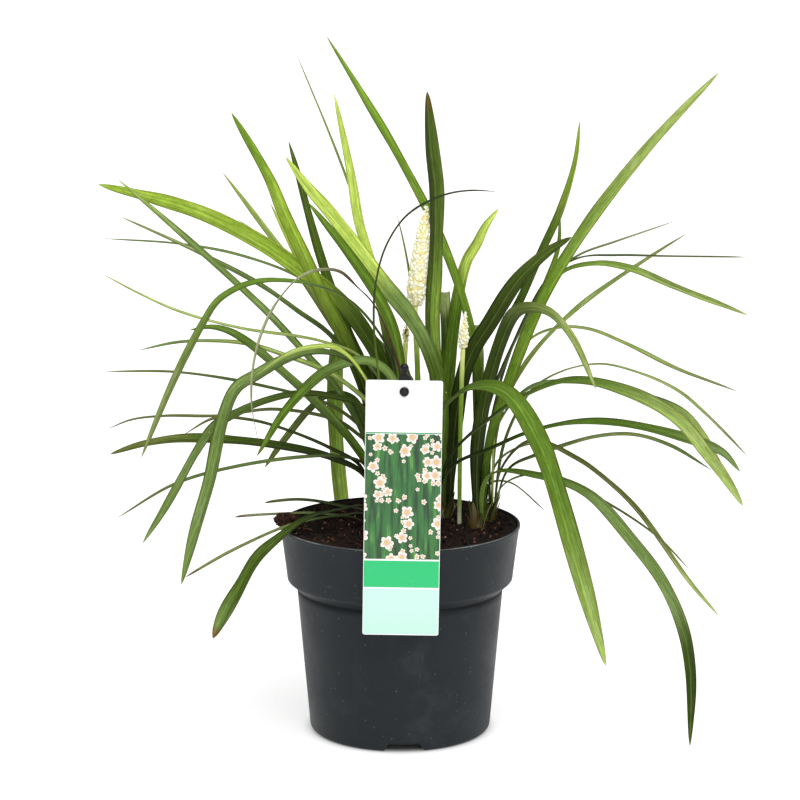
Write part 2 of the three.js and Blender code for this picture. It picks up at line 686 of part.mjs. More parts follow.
/** A spike's stem: a round bar along its stations, set in the soil and cut off below the head. */
function makeScape({ at, scape, scapeRadius }) {
  const low = new THREE.Vector3(at[0], at[1], SOIL.level - CROWN.depth);
  const bend = new THREE.Vector3(at[0], at[1], SOIL.level + 8);
  const route = new THREE.CatmullRomCurve3([low, bend, ...scape.map(carried)], false, 'centripetal');
  const outline = new THREE.Shape();
  outline.absarc(0, 0, scapeRadius, 0, Math.PI * 2);
  return new THREE.ExtrudeGeometry(outline, {
    steps: 9,
    curveSegments: 4,
    bevelEnabled: false,
    extrudePath: route,
  });
}

/** A flower head: a slim core with rings of buds that stand out of it. */
function makeHead({ scape, top, profile, budRadius, rings, budPitch }) {
  const foot = carried(scape[scape.length - 1]);
  const axis = carried(top).sub(foot);
  const height = axis.length() - HEAD_GAP;
  const up = axis.normalize();
  foot.addScaledVector(up, HEAD_GAP);
  const turn = new THREE.Quaternion().setFromUnitVectors(new THREE.Vector3(0, 0, 1), up);
  const stand = new THREE.Matrix4().compose(foot, turn, new THREE.Vector3(1, 1, 1));
  const core = [[0, 0]];
  for (const [share, radius] of profile) {
    core.push([Math.max(radius - budRadius * 0.8, 0.5), share * height]);
  }
  core.push([0, height]);
  let head = solid(turned(core, 7));
  for (let ring = 0; ring < rings; ring += 1) {
    const share = (ring + 0.5) / rings;
    const radius = radiusAt(profile, share);
    const out = Math.max(radius - budRadius, 0.4);
    const count = Math.max(3, Math.floor((2 * Math.PI * out) / budPitch));
    for (let i = 0; i < count; i += 1) {
      const angle = ((i + (ring % 2) / 2) / count) * Math.PI * 2;
      const bud = new THREE.OctahedronGeometry(budRadius, 0);
      bud.rotateZ(angle);
      bud.translate(out * Math.cos(angle), out * Math.sin(angle), share * height);
      head = head.add(solid(bud));
    }
  }
  return surface(mainBody(head)).applyMatrix4(stand);
}

/** A head's radius at a share of its height. */
function radiusAt(profile, share) {
  for (let i = 1; i < profile.length; i += 1) {
    const [low, lowRadius] = profile[i - 1];
    const [high, highRadius] = profile[i];
    if (share <= high) {
      return lowRadius + ((highRadius - lowRadius) * (share - low)) / (high - low);
    }
  }
  return profile[profile.length - 1][1];
}

// ---------------------------------------------------------------- hang card and stake

/** Stands flat work, drawn in X and Y with its face towards +Z, between two points. */
function standing(geometry, low, high) {
  const from = new THREE.Vector3(...low);
  const up = new THREE.Vector3(...high).sub(from).normalize();
  const face = new THREE.Vector3(0, -1, 0).addScaledVector(up, up.y).normalize();
  const right = new THREE.Vector3().crossVectors(up, face);
  return geometry.applyMatrix4(new THREE.Matrix4().makeBasis(right, up, face).setPosition(from));
}

function makeCard() {
  const half = CARD.width / 2;
  const round = CARD.corner;
  const outline = new THREE.Shape();
  outline.moveTo(-half + round, 0);
  outline.lineTo(half - round, 0);
  outline.absarc(half - round, round, round, -Math.PI / 2, 0);
  outline.lineTo(half, CARD.height - round);
  outline.absarc(half - round, CARD.height - round, round, 0, Math.PI / 2);
  outline.lineTo(-half + round, CARD.height);
  outline.absarc(-half + round, CARD.height - round, round, Math.PI / 2, Math.PI);
  outline.lineTo(-half, round);
  outline.absarc(-half + round, round, round, Math.PI, Math.PI * 1.5);
  const hole = new THREE.Path();
  hole.absarc(0, CARD.height - CARD.holeBelowTop, CARD.holeRadius, 0, Math.PI * 2);
  outline.holes.push(hole);
  const card = new THREE.ExtrudeGeometry(outline, {
    depth: CARD.thickness,
    bevelEnabled: false,
    curveSegments: 5,
  });
  card.translate(0, 0, -CARD.thickness / 2);
  return standing(card, CARD.bottom, CARD.top);
}

/** The stake's outline: a pointed bar with a collar, a neck and a round knob on top. */
function stakeOutline(margin) {
  const half = STAKE.width / 2 + margin;
  const rise = new THREE.Vector3(...STAKE.pegPoint).distanceTo(new THREE.Vector3(...STAKE.soilPoint));
  const top = rise + STAKE.above;
  const collar = top - 9.5;
  const outline = new THREE.Shape();
  outline.moveTo(-0.8 - margin, -STAKE.below - margin);
  outline.lineTo(0.8 + margin, -STAKE.below - margin);
  outline.lineTo(half, -STAKE.below + 12);
  outline.lineTo(half, collar - 1.6);
  outline.lineTo(3.8 + margin, collar - 1);
  outline.lineTo(3.8 + margin, collar + 0.6);
  outline.lineTo(1.9 + margin, collar + 1.2);
  outline.lineTo(1.9 + margin, collar + 2.6);
  outline.lineTo(3.1 + margin, collar + 4);
  outline.lineTo(3.1 + margin, top - 3.2);
  outline.lineTo(1.8 + margin, top - 0.8);
  outline.lineTo(0, top);
  outline.lineTo(-1.8 - margin, top - 0.8);
  outline.lineTo(-3.1 - margin, top - 3.2);
  outline.lineTo(-3.1 - margin, collar + 4);
  outline.lineTo(-1.9 - margin, collar + 2.6);
  outline.lineTo(-1.9 - margin, collar + 1.2);
  outline.lineTo(-3.8 - margin, collar + 0.6);
  outline.lineTo(-3.8 - margin, collar - 1);
  outline.lineTo(-half, collar - 1.6);
  outline.lineTo(-half, -STAKE.below + 12);
  outline.closePath();
  return outline;
}

function stakeBar(margin) {
  const depth = STAKE.thickness + 2 * margin;
  const bar = new THREE.ExtrudeGeometry(stakeOutline(margin), { depth, bevelEnabled: false });
  bar.translate(0, 0, -depth / 2);
  return standing(bar, STAKE.soilPoint, STAKE.pegPoint);
}

/** The peg stands square to the card: a neck through its hole and a round head before it. */
function makeStake() {
  const low = new THREE.Vector3(...CARD.bottom);
  const up = new THREE.Vector3(...CARD.top).sub(low).normalize();
  const hole = low.addScaledVector(up, CARD.height - CARD.holeBelowTop);
  const front = new THREE.Vector3(0, -1, 0).addScaledVector(up, up.y).normalize();
  const headBack = CARD.thickness / 2 + STAKE.cardGap;
  const neckLength = headBack + STAKE.thickness + 1;
  const turn = new THREE.Quaternion().setFromUnitVectors(new THREE.Vector3(0, 1, 0), front);
  const neck = new THREE.CylinderGeometry(STAKE.pegRadius, STAKE.pegRadius, neckLength, 16);
  neck.translate(0, headBack - neckLength / 2 + 0.3, 0);
  const headFront = headBack + STAKE.headThickness;
  const profile = [
    [0, headBack],
    [STAKE.headRadius, headBack],
    [STAKE.headRadius, headBack + 0.8],
    [STAKE.headRadius * 0.7, headFront],
    [0, headFront],
  ];
  const head = new THREE.LatheGeometry(profile.map(([r, h]) => new THREE.Vector2(r, h)), 20);
  const place = new THREE.Matrix4().compose(hole, turn, new THREE.Vector3(1, 1, 1));
  const peg = solid(neck.applyMatrix4(place)).add(solid(head.applyMatrix4(place)));
  return surface(solid(stakeBar(0)).add(peg));
}

// ---------------------------------------------------------------- materials

const MATERIAL = {
  pot: { color: 0x3a3d40, roughness: 0.55, metalness: 0 },
  soil: { color: 0x2a1a13, roughness: 1, metalness: 0 },
  card: { color: 0xf2f4f1, roughness: 0.45, metalness: 0 },
  stake: { color: 0x141416, roughness: 0.35, metalness: 0 },
  blade: { color: 0x4f7d2c, roughness: 0.5, metalness: 0 },
  withered: { color: 0x9a9a7c, roughness: 0.8, metalness: 0 },
  scape: { color: 0x9fb04e, roughness: 0.6, metalness: 0 },
  bud: { color: 0xf3ecc8, roughness: 0.6, metalness: 0 },
};

// ---------------------------------------------------------------- assembly

const group = new THREE.Group();

function add(name, geometry, finish) {
  const mesh = new THREE.Mesh(geometry, new THREE.MeshStandardMaterial(finish));
  mesh.name = name;
  group.add(mesh);
}

const holes = TUFTS.map(({ at }) => stemHole(at, CROWN.hole, CROWN.mouth));
holes.push(stemHole(DRY_BLADE.at, DRY_CROWN.hole, DRY_CROWN.mouth));
for (const { at, scapeRadius } of SPIKES) holes.push(stemHole(at, scapeRadius + 0.6, scapeRadius + 0.9));
holes.push(solid(stakeBar(STAKE.slotGap)));

add('pot', makePot(), MATERIAL.pot);
add('soil', makeSoil(holes), MATERIAL.soil);
add('label_card', makeCard(), MATERIAL.card);
add('label_stake', makeStake(), MATERIAL.stake);
for (const tuft of TUFTS) add(tuft.name, makeTuft(tuft, CROWN), MATERIAL.blade);
add(DRY_BLADE.name, makeTuft(DRY_BLADE, DRY_CROWN), MATERIAL.withered);
for (const spike of SPIKES) {
  add(`${spike.name}_scape`, makeScape(spike), MATERIAL.scape);
  add(`${spike.name}_buds`, makeHead(spike), MATERIAL.bud);
}

export default group;
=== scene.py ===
"""Looks of a white-flowered lily turf (liriope) in a tapered nursery pot.

The plant, its pot, the soil and the hang card on its stake are built here as fine
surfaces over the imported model, +Z up, with the front towards -Y. The origin is the centre
of the pot's foot, on the floor that it stands on. Shapes are worked out in millimetres,
and make_piece brings them to metres.
"""

import logging
import math
from dataclasses import dataclass
from enum import Enum
from typing import Sequence

import bpy
import numpy as np
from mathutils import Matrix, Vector


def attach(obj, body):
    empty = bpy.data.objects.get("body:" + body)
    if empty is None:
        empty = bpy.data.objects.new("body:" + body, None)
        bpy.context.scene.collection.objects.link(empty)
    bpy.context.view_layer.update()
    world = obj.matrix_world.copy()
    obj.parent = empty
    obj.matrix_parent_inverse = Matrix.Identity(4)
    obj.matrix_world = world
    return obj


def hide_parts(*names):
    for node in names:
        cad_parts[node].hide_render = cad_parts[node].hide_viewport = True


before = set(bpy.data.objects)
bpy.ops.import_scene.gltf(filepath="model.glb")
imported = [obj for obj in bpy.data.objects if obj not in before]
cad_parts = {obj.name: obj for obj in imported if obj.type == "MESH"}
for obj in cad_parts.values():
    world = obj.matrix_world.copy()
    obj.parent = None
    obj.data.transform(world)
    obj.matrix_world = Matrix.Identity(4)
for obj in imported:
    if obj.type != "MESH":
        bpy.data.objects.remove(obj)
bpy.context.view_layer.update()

LOG = logging.getLogger("liriope")
MM = 0.001

Array = np.ndarray
Pair = tuple[float, float]
Triple = tuple[float, float, float]
Draw = np.random.Generator
Material = bpy.types.Material
Node = bpy.types.Node
Piece = bpy.types.Object
Socket = bpy.types.NodeSocket
Tree = bpy.types.NodeTree


# ---- colours and finishes


def linear(red: float, green: float, blue: float) -> Array:
    """A display colour, 0 to 255 a channel, as three scene-linear values from 0 to 1."""
    shown = np.array([red, green, blue], dtype=float) / 255.0
    return np.where(shown <= 0.04045, shown / 12.92, ((shown + 0.055) / 1.055) ** 2.4)


def ink(red: float, green: float, blue: float) -> Triple:
    """A display colour as three linear values for a socket."""
    return tuple(linear(red, green, blue))


def palette(*shown: Triple) -> Array:
    """Display colours as rows of linear values."""
    return np.stack([linear(*colour) for colour in shown])


class Leaf(Enum):
    """Leaf tones with painted shade deep in a tuft and painted sunlight on the tips."""

    SHADE = (32, 46, 12)
    DEEP = (54, 74, 22)
    DARK = (80, 104, 38)
    MID = (102, 136, 46)
    FRESH = (124, 160, 56)
    BRIGHT = (168, 200, 78)
    LIME = (212, 238, 122)
    PALE = (176, 198, 122)
    SILVER = (142, 158, 106)
    BLUISH = (122, 148, 88)
    OLIVE = (112, 122, 66)
    ASH = (178, 184, 158)
    STRAW = (176, 160, 112)
    RUST = (122, 72, 40)
    CREAM = (214, 204, 158)
    BROWN = (78, 56, 36)

    @property
    def tint(self) -> Array:
        """The tone as a linear colour."""
        return linear(*self.value)


LEAF_DEPTH = np.array([0.68, 0.7, 0.5])
"""What a leaf gives back of each tone's red, green and blue, which show it in full light."""
LEAF_RIM = np.array([0.3, 0.4, 0.42])
"""How much less red, green and blue its thin edge gives back."""
SHEATH_SHARE = 0.62
"""What the dry sheaths give back, low between the leaves."""
UNSHADED_TINT = 0.02
# Tint of plastic left unshaded; a tint's red says how much painted shade it takes.
"""The tint of bare plastic, whose red says how soiled it is."""


class Tip(Enum):
    """How a leaf ends: still green, dried to a point, or cut off and browned."""

    GREEN = 0.0
    DRY = 0.035
    CUT = 0.06


@dataclass(frozen=True)
class Finish:
    """What the shader of one material is set to.

    Attributes:
        name: Name of the material.
        colour: Main colour, linear.
        second: Colour of its marks or variation, linear.
        roughness: Lowest and highest roughness over the surface.
        specular: Specular level of the shader.
        grain: Size of the finest relief, in metres.
        relief: Strength of that relief.
        gloss_tint: Colour that its gloss is tinted with.
    """

    name: str
    colour: Triple
    second: Triple
    roughness: Pair
    specular: float
    grain: float
    relief: float
    gloss_tint: Triple = (1.0, 1.0, 1.0)


POT_FINISH = Finish(
    "pot_plastic", ink(23, 29, 33), ink(88, 92, 96),
    roughness=(0.42, 0.58), specular=0.22, grain=0.0007, relief=0.12,
)
STAKE_FINISH = Finish(
    "stake_plastic", ink(9, 9, 11), ink(40, 40, 42),
    roughness=(0.2, 0.32), specular=0.3, grain=0.0009, relief=0.06,
)
PEAT_FINISH = Finish(
    "peat", ink(27, 18, 14), ink(76, 49, 37),
    roughness=(0.86, 1.0), specular=0.25, grain=0.0012, relief=0.7,
)
LEAF_FINISH = Finish(
    "leaf", ink(98, 130, 44), ink(168, 186, 96),
    roughness=(0.42, 0.58), specular=0.17, grain=0.0008, relief=0.22,
    gloss_tint=(0.8, 1.0, 0.45),
)
DRY_FINISH = Finish(
    "dry_leaf", ink(158, 152, 118), ink(70, 56, 40),
    roughness=(0.7, 0.9), specular=0.3, grain=0.0006, relief=0.35,
)
STEM_FINISH = Finish(
    "flower_stem", ink(186, 196, 108), ink(232, 228, 150),
    roughness=(0.45, 0.6), specular=0.25, grain=0.0006, relief=0.2,
)
BUD_FINISH = Finish(
    "bud", ink(248, 243, 214), ink(242, 224, 142),
    roughness=(0.5, 0.68), specular=0.25, grain=0.0005, relief=0.15,
)
CARD_FINISH = Finish(
    "card", ink(246, 247, 246), ink(30, 178, 98),
    roughness=(0.26, 0.36), specular=0.5, grain=0.0006, relief=0.03,
)
FLOOR_FINISH = Finish(
    "floor", (0.62, 0.62, 0.62), (0.6, 0.6, 0.6),
    roughness=(0.7, 0.8), specular=0.2, grain=0.003, relief=0.02,
)


@dataclass(frozen=True)
class Ring:
    """Painted highlight or shadow round the pot: its edges in metres, strength and colour."""

    low: float
    high: float
    share: float
    tone: Triple


@dataclass(frozen=True)
class Mark:
    """A small dark mark on the front: its place and its half sizes, in metres."""

    across: float
    up: float
    wide: float
    tall: float
    tone: Triple = (0.004, 0.004, 0.005)


# A painted highlight along the lip's top edge, and a painted shadow in the crease under the band.
POT_RINGS = (
    Ring(0.1482, 0.1494, 0.8, ink(138, 139, 139)),
    Ring(0.1012, 0.1042, 0.85, ink(16, 17, 18)),
)
POT_MARKS = (Mark(0.0589, 0.1422, 0.0009, 0.0026), Mark(-0.031, 0.118, 0.0004, 0.0005))


# ---- surfaces


def unit(rows: Array) -> Array:
    """Each row of an array, made one long."""
    return rows / np.maximum(np.linalg.norm(rows, axis=-1, keepdims=True), 1e-12)


def blend(first: Array, second: Array, share: Array | float) -> Array:
    """The first value where the share is 0, the second where it is 1, straight between."""
    return first + (second - first) * share


def smooth_step(low: float, high: float, value: Array) -> Array:
    """Zero below low, one above high, and 3s² - 2s³ between them."""
    share = np.clip((value - low) / (high - low), 0, 1)
    return share * share * (3 - 2 * share)


def walked(line: Array) -> Array:
    """The length from the start of a line to each of its points."""
    return np.concatenate([[0], np.cumsum(np.linalg.norm(np.diff(line, axis=0), axis=1))])


def line_length(line: Array) -> float:
    """The length of a line of points, in its own unit."""
    return float(np.linalg.norm(np.diff(line, axis=0), axis=1).sum())


def turns_round(count: int) -> Array:
    """That many angles, evenly spread over a full turn."""
    return np.linspace(0, 2 * np.pi, count, endpoint=False)


def ball(rows: int, columns: int) -> Array:
    """A unit sphere as a grid of places, its poles left open."""
    turn, angle = np.linspace(0, np.pi, rows)[1:-1, None], turns_round(columns)[None, :]
    x, y = np.sin(turn) * np.cos(angle), np.sin(turn) * np.sin(angle)
    return np.stack([x, y, np.cos(turn) * np.ones_like(angle)], axis=-1)


def strip(count: int) -> tuple[Array, Array]:
    """Places across a strip's upper face and back, -1 to 1, and their face, 1 or -1."""
    across = np.linspace(-1, 1, count)
    return np.concatenate([across, across[::-1]]), np.repeat([1.0, -1.0], count)


def waves(points: Array, size: float, seed: int, count: int = 18) -> Array:
    """Smooth uneven values, about -1 to 1: a sum of sines in seeded directions.

    The value at p is the sum of sin(k_n · p + phase_n) / sqrt(count / 2), where each k_n
    has a random direction and a wavelength between 0.6 and 1.6 times the size.

    Args:
        points: Rows of places.
        size: Typical distance between two crests.
        seed: Seed of the draws.
        count: Number of sines.

    Returns:
        One value for each place.
    """
    draw = np.random.default_rng(seed)
    direction = unit(draw.normal(size=(count, points.shape[-1])))
    wave = 2 * np.pi / (size * draw.uniform(0.6, 1.6, size=(count, 1)))
    phase = draw.uniform(0, 2 * np.pi, size=count)
    return np.sin(points @ (direction * wave).T + phase).sum(axis=-1) / math.sqrt(count / 2)


@dataclass
class Surface:
    """Points with their faces and what each point carries for the shader.

    Attributes:
        points: Places, one row a point, in millimetres.
        quads: Four-sided faces, as rows of point numbers.
        tris: Three-sided faces, as rows of point numbers.
        uv: Two pattern coordinates a point, in millimetres along the surface.
        tint: Linear colour a point.
    """

    points: Array
    quads: Array
    tris: Array
    uv: Array
    tint: Array

    def outward(self) -> "Surface":
        """The same closed surface with its faces turned outwards.

        The volume is the sum over all triangles of a · (b × c) / 6, which is negative
        where the faces point inwards.

        Returns:
            This surface, its faces reversed if needed.
        """
        corners = np.concatenate([self.quads[:, [0, 1, 2]], self.quads[:, [0, 2, 3]], self.tris])
        a, b, c = (self.points[corners[:, i]] for i in range(3))
        if np.einsum("ij,ij->", a, np.cross(b, c)) < 0:
            self.quads, self.tris = self.quads[:, ::-1], self.tris[:, ::-1]
        return self


def joined(parts: Sequence[Surface]) -> Surface:
    """Several surfaces as one, with their point numbers shifted on."""
    starts = np.cumsum([0] + [len(part.points) for part in parts[:-1]])
    rows = [(p.points, p.quads + at, p.tris + at, p.uv, p.tint) for p, at in zip(parts, starts)]
    return Surface(*(np.concatenate(column) for column in zip(*rows)))


def grid_surface(
    points: Array,
    uv: Array | None = None,
    tint: Array | None = None,
    closed_rows: bool = False,
) -> Surface:
    """A surface from a grid whose columns go round and whose rows go along.

    A face joins each pair of neighbouring rows and columns; the last column joins the
    first. An open end is closed by a fan about the mean of its row.

    Args:
        points: Rows by columns by three.
        uv: Rows by columns by two, or zeros.
        tint: Rows by columns by three, or ones.
        closed_rows: True if the last row also joins the first.

    Returns:
        The surface, with its faces pointing outwards.
    """
    rows, columns = points.shape[:2]
    uv = np.zeros((rows, columns, 2)) if uv is None else uv
    tint = np.ones(points.shape) if tint is None else tint
    number = np.arange(rows * columns).reshape(rows, columns)
    if closed_rows:
        number = np.concatenate([number, number[:1]])
    right = np.roll(number, -1, axis=1)
    quads = np.stack([number[:-1], right[:-1], right[1:], number[1:]], axis=-1).reshape(-1, 4)
    carried = [grid.reshape(-1, grid.shape[-1]) for grid in (points, uv, tint)]
    tris = np.zeros((0, 3), int)
    if not closed_rows:
        first, last, hub = number[0], number[-1], np.full(columns, rows * columns)
        start = np.stack([hub, np.roll(first, -1), first], axis=1)
        tris = np.concatenate([start, np.stack([hub + 1, last, np.roll(last, -1)], axis=1)])
        hubs = [grid[[0, -1]].mean(axis=1) for grid in (points, uv, tint)]
        carried = [np.concatenate(pair) for pair in zip(carried, hubs)]
    return Surface(carried[0], quads, tris, *carried[1:]).outward()


def lathe(profile: Array, sides: int) -> Surface:
    """A profile of radius and height turned about the Z axis, with a tint outside the painted
    shade.

    Point (i, j) lies at (r_i cos a_j, r_i sin a_j, z_i), with a_j = 2 pi j / sides.

    Args:
        profile: Rows of radius and height, from axis to axis.
        sides: Number of columns round the axis.

    Returns:
        The turned surface.
    """
    angle = turns_round(sides)
    radius = np.maximum(profile[:, :1], 1e-5)
    height = np.broadcast_to(profile[:, 1:], (len(profile), sides))
    points = np.stack([radius * np.cos(angle), radius * np.sin(angle), height], axis=-1)
    along = np.broadcast_to(walked(profile)[:, None], height.shape)
    uv = np.stack([radius * angle, along], axis=-1)
    return grid_surface(points, uv, np.full(points.shape, UNSHADED_TINT))


def smooth_line(stations: Array, count: int) -> Array:
    """A smooth line through stations, with evenly spaced points.

    Each stretch is a cubic whose end slopes come from its neighbours, weighted by the
    square root of the distances between them (a centripetal Catmull-Rom spline). The
    points are then spaced evenly by the length walked along it.

    Args:
        stations: Rows of places that the line goes through.
        count: Number of points wanted.

    Returns:
        That many rows of places.
    """
    before = 2 * stations[0] - stations[1]
    after = 2 * stations[-1] - stations[-2]
    padded = np.vstack([before, stations, after])
    root = np.sqrt(np.linalg.norm(np.diff(padded, axis=0), axis=1))[:, None]
    p0, p1, p2, p3 = padded[:-3], padded[1:-2], padded[2:-1], padded[3:]
    d0, d1, d2 = root[:-2], root[1:-1], root[2:]
    m1 = ((p1 - p0) / d0 - (p2 - p0) / (d0 + d1) + (p2 - p1) / d1) * d1
    m2 = ((p2 - p1) / d1 - (p3 - p1) / (d1 + d2) + (p3 - p2) / d2) * d1
    t = np.linspace(0, 1, 60, endpoint=False)[None, :, None]
    c2 = -3 * p1 + 3 * p2 - 2 * m1 - m2
    c3 = 2 * p1 - 2 * p2 + m1 + m2
    fine = p1[:, None] + m1[:, None] * t + c2[:, None] * t**2 + c3[:, None] * t**3
    fine = np.vstack([fine.reshape(-1, 3), stations[-1:]])
    far = walked(fine)
    goal = np.linspace(0, far[-1], count)
    return np.stack([np.interp(goal, far, fine[:, i]) for i in range(3)], axis=1)


def rod(line: Array, radius: Array, sides: int, tint: Array) -> Surface:
    """A round bar of changing radius carried along a line.

    At each point the section is a circle in the plane square to the line, set out from a
    fixed sideways direction.

    Args:
        line: Rows of places along the middle.
        radius: Radius at each place.
        sides: Number of columns round the bar.
        tint: Linear colour at each place.

    Returns:
        The closed bar.
    """
    tangent = unit(np.gradient(line, axis=0))
    side = unit(np.cross(tangent, np.array([0.03, -1.0, 0.02])))
    up = np.cross(side, tangent)
    angle = turns_round(sides)
    out = np.cos(angle)[None, :, None] * side[:, None] + np.sin(angle)[None, :, None] * up[:, None]
    points = line[:, None] + out * radius[:, None, None]
    along = np.broadcast_to(walked(line)[:, None], (len(line), sides))
    uv = np.stack([radius[:, None] * angle[None, :], along], axis=-1)
    return grid_surface(points, uv, np.broadcast_to(tint[:, None, :], points.shape))


def copies(
    pattern: Surface, places: Array, turns: Array, sizes: Array, tints: Array
) -> Surface:
    """Copies of one small surface, each turned, sized, tinted and put in its place.

    Point p of copy k lies at place_k + turn_k (size_k * p).

    Args:
        pattern: The small surface, about the origin.
        places: A place for each copy.
        turns: A 3 by 3 rotation for each copy.
        sizes: Three scale factors for each copy.
        tints: A linear colour for each copy.

    Returns:
        All the copies as one surface.
    """
    count, each = len(places), len(pattern.points)
    scaled = pattern.points[None] * sizes[:, None]
    points = np.einsum("kij,knj->kni", turns, scaled) + places[:, None]
    shift = (np.arange(count) * each)[:, None, None]
    return Surface(
        points.reshape(-1, 3),
        (pattern.quads[None] + shift).reshape(-1, 4),
        (pattern.tris[None] + shift).reshape(-1, 3),
        np.tile(pattern.uv, (count, 1)),
        np.repeat(tints, each, axis=0),
    )


def turns_to(direction: Array, draw: Draw) -> Array:
    """Rotations that carry the Z axis to each direction, after a drawn spin about Z.

    Args:
        direction: Rows of unit directions.
        draw: The seeded generator of the spins.

    Returns:
        A 3 by 3 rotation for each row.
    """
    spin = draw.uniform(0, 6.28, len(direction))
    helper = np.where(np.abs(direction[:, 2:]) < 0.9, [[0.0, 0.0, 1.0]], [[1.0, 0.0, 0.0]])
    x = unit(np.cross(helper, direction))
    y = np.cross(direction, x)
    cos, sin = np.cos(spin)[:, None], np.sin(spin)[:, None]
    return np.stack([x * cos + y * sin, y * cos - x * sin, direction], axis=-1)


def make_piece(name: str, surface: Surface, material: Material, node: str) -> Piece:
    """Puts a surface into a mesh object that rides on the root body.

    Args:
        name: Name of the piece.
        surface: Its points, faces, pattern coordinates and tints, in millimetres.
        material: Its material.
        node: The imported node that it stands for.

    Returns:
        The new object.
    """
    mesh = bpy.data.meshes.new(name)
    corners = np.concatenate([surface.quads.ravel(), surface.tris.ravel()]).astype(np.int32)
    quads, tris = len(surface.quads), len(surface.tris)
    starts = np.concatenate([np.arange(quads) * 4, quads * 4 + np.arange(tris) * 3])
    mesh.vertices.add(len(surface.points))
    mesh.vertices.foreach_set("co", (surface.points * MM).astype(np.float32).ravel())
    mesh.loops.add(len(corners))
    mesh.loops.foreach_set("vertex_index", corners)
    mesh.polygons.add(len(starts))
    mesh.polygons.foreach_set("loop_start", starts.astype(np.int32))
    mesh.polygons.foreach_set("use_smooth", np.ones(len(starts), dtype=bool))
    mesh.update(calc_edges=True)
    layer = mesh.uv_layers.new(name="Pattern")
    layer.data.foreach_set("uv", (surface.uv * MM)[corners].astype(np.float32).ravel())
    tint = mesh.color_attributes.new(name="Tint", type="FLOAT_COLOR", domain="POINT")
    rgba = np.concatenate([surface.tint, np.ones((len(surface.tint), 1))], axis=1)
    tint.data.foreach_set("color", rgba.astype(np.float32).ravel())
    mesh.materials.append(material)
    mesh.validate()
    piece = bpy.data.objects.new(name, mesh)
    bpy.context.scene.collection.objects.link(piece)
    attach(piece, "root")
    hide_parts(node)
    LOG.info("%s: %d points, %d faces", name, len(mesh.vertices), len(mesh.polygons))
    return piece


# ---- shader building


@dataclass
class Wiring:
    """A node tree that is being wired, with short calls for the usual nodes."""

    tree: Tree

    def node(self, kind: str, **settings: object) -> Node:
        """Adds a node and sets its properties.

        Args:
            kind: Blender's name for the node's type, after ShaderNode.
            settings: Properties of the node, by name.

        Returns:
            The new node.
        """
        row, column = divmod(len(self.tree.nodes), 12)
        made = self.tree.nodes.new(kind if kind.startswith("Node") else f"ShaderNode{kind}")
        for name, value in settings.items():
            setattr(made, name, value)
        made.location = (column * 190, -row * 260)
        return made

    def feed(self, target: Socket, value: object) -> None:
        """Links a socket to the input, or sets the input to a plain value."""
        if isinstance(value, Socket):
            self.tree.links.new(value, target)
        elif isinstance(value, tuple):
            target.default_value = (list(value) + [1.0])[: len(target.default_value)]
        else:
            target.default_value = value

    def made(self, kind: str, fed: dict[str | int, object], **settings: object) -> Node:
        """A new node with its inputs fed, by name or number."""
        node = self.node(kind, **settings)
        for name, value in fed.items():
            self.feed(node.inputs[name], value)
        return node

    def math(self, operation: str, *values: object) -> Socket:
        """One math node on values or sockets."""
        return self.made("Math", dict(enumerate(values)), operation=operation).outputs[0]

    def times(self, first: object, second: object) -> Socket:
        """The product of two values."""
        return self.math("MULTIPLY", first, second)

    def plus(self, first: object, second: object) -> Socket:
        """The sum of two values."""
        return self.math("ADD", first, second)

    def parts(self, value: Socket, kind: str = "XYZ") -> Sequence[Socket]:
        """The three parts of a vector, or of a colour with kind Color."""
        return self.made(f"Separate{kind}", {0: value}).outputs

    def span(
        self, value: object, low: float, high: float, to_low: float = 0.0, to_high: float = 1.0
    ) -> Socket:
        """Carries a range smoothly to another and holds it there."""
        names = ("Value", "From Min", "From Max", "To Min", "To Max")
        fed = dict(zip(names, (value, low, high, to_low, to_high)))
        return self.made("MapRange", fed, interpolation_type="SMOOTHSTEP").outputs["Result"]

    def mix(self, share: object, first: object, second: object, blend_type: str = "MIX") -> Socket:
        """Mixes two colours by a share from 0 to 1."""
        fed = {"Factor": share, 6: first, 7: second}
        return self.made("Mix", fed, data_type="RGBA", blend_type=blend_type).outputs[2]

    def noise(
        self, vector: object, scale: object, detail: float = 4.0, rough: float = 0.55
    ) -> Socket:
        """Fractal noise from 0 to 1; a scale of three values stretches it along its axes."""
        if isinstance(scale, tuple):
            vector = self.made("Mapping", {"Vector": vector, "Scale": scale}).outputs["Vector"]
            scale = 1.0
        fed = {"Vector": vector, "Scale": scale, "Detail": detail, "Roughness": rough}
        return self.made("TexNoise", fed, noise_dimensions="3D").outputs["Fac"]

    def scaled(self, colour: object, factor: object) -> Socket:
        """A colour made lighter or darker by a factor."""
        fed = {0: colour, "Scale": factor}
        return self.made("VectorMath", fed, operation="SCALE").outputs["Vector"]


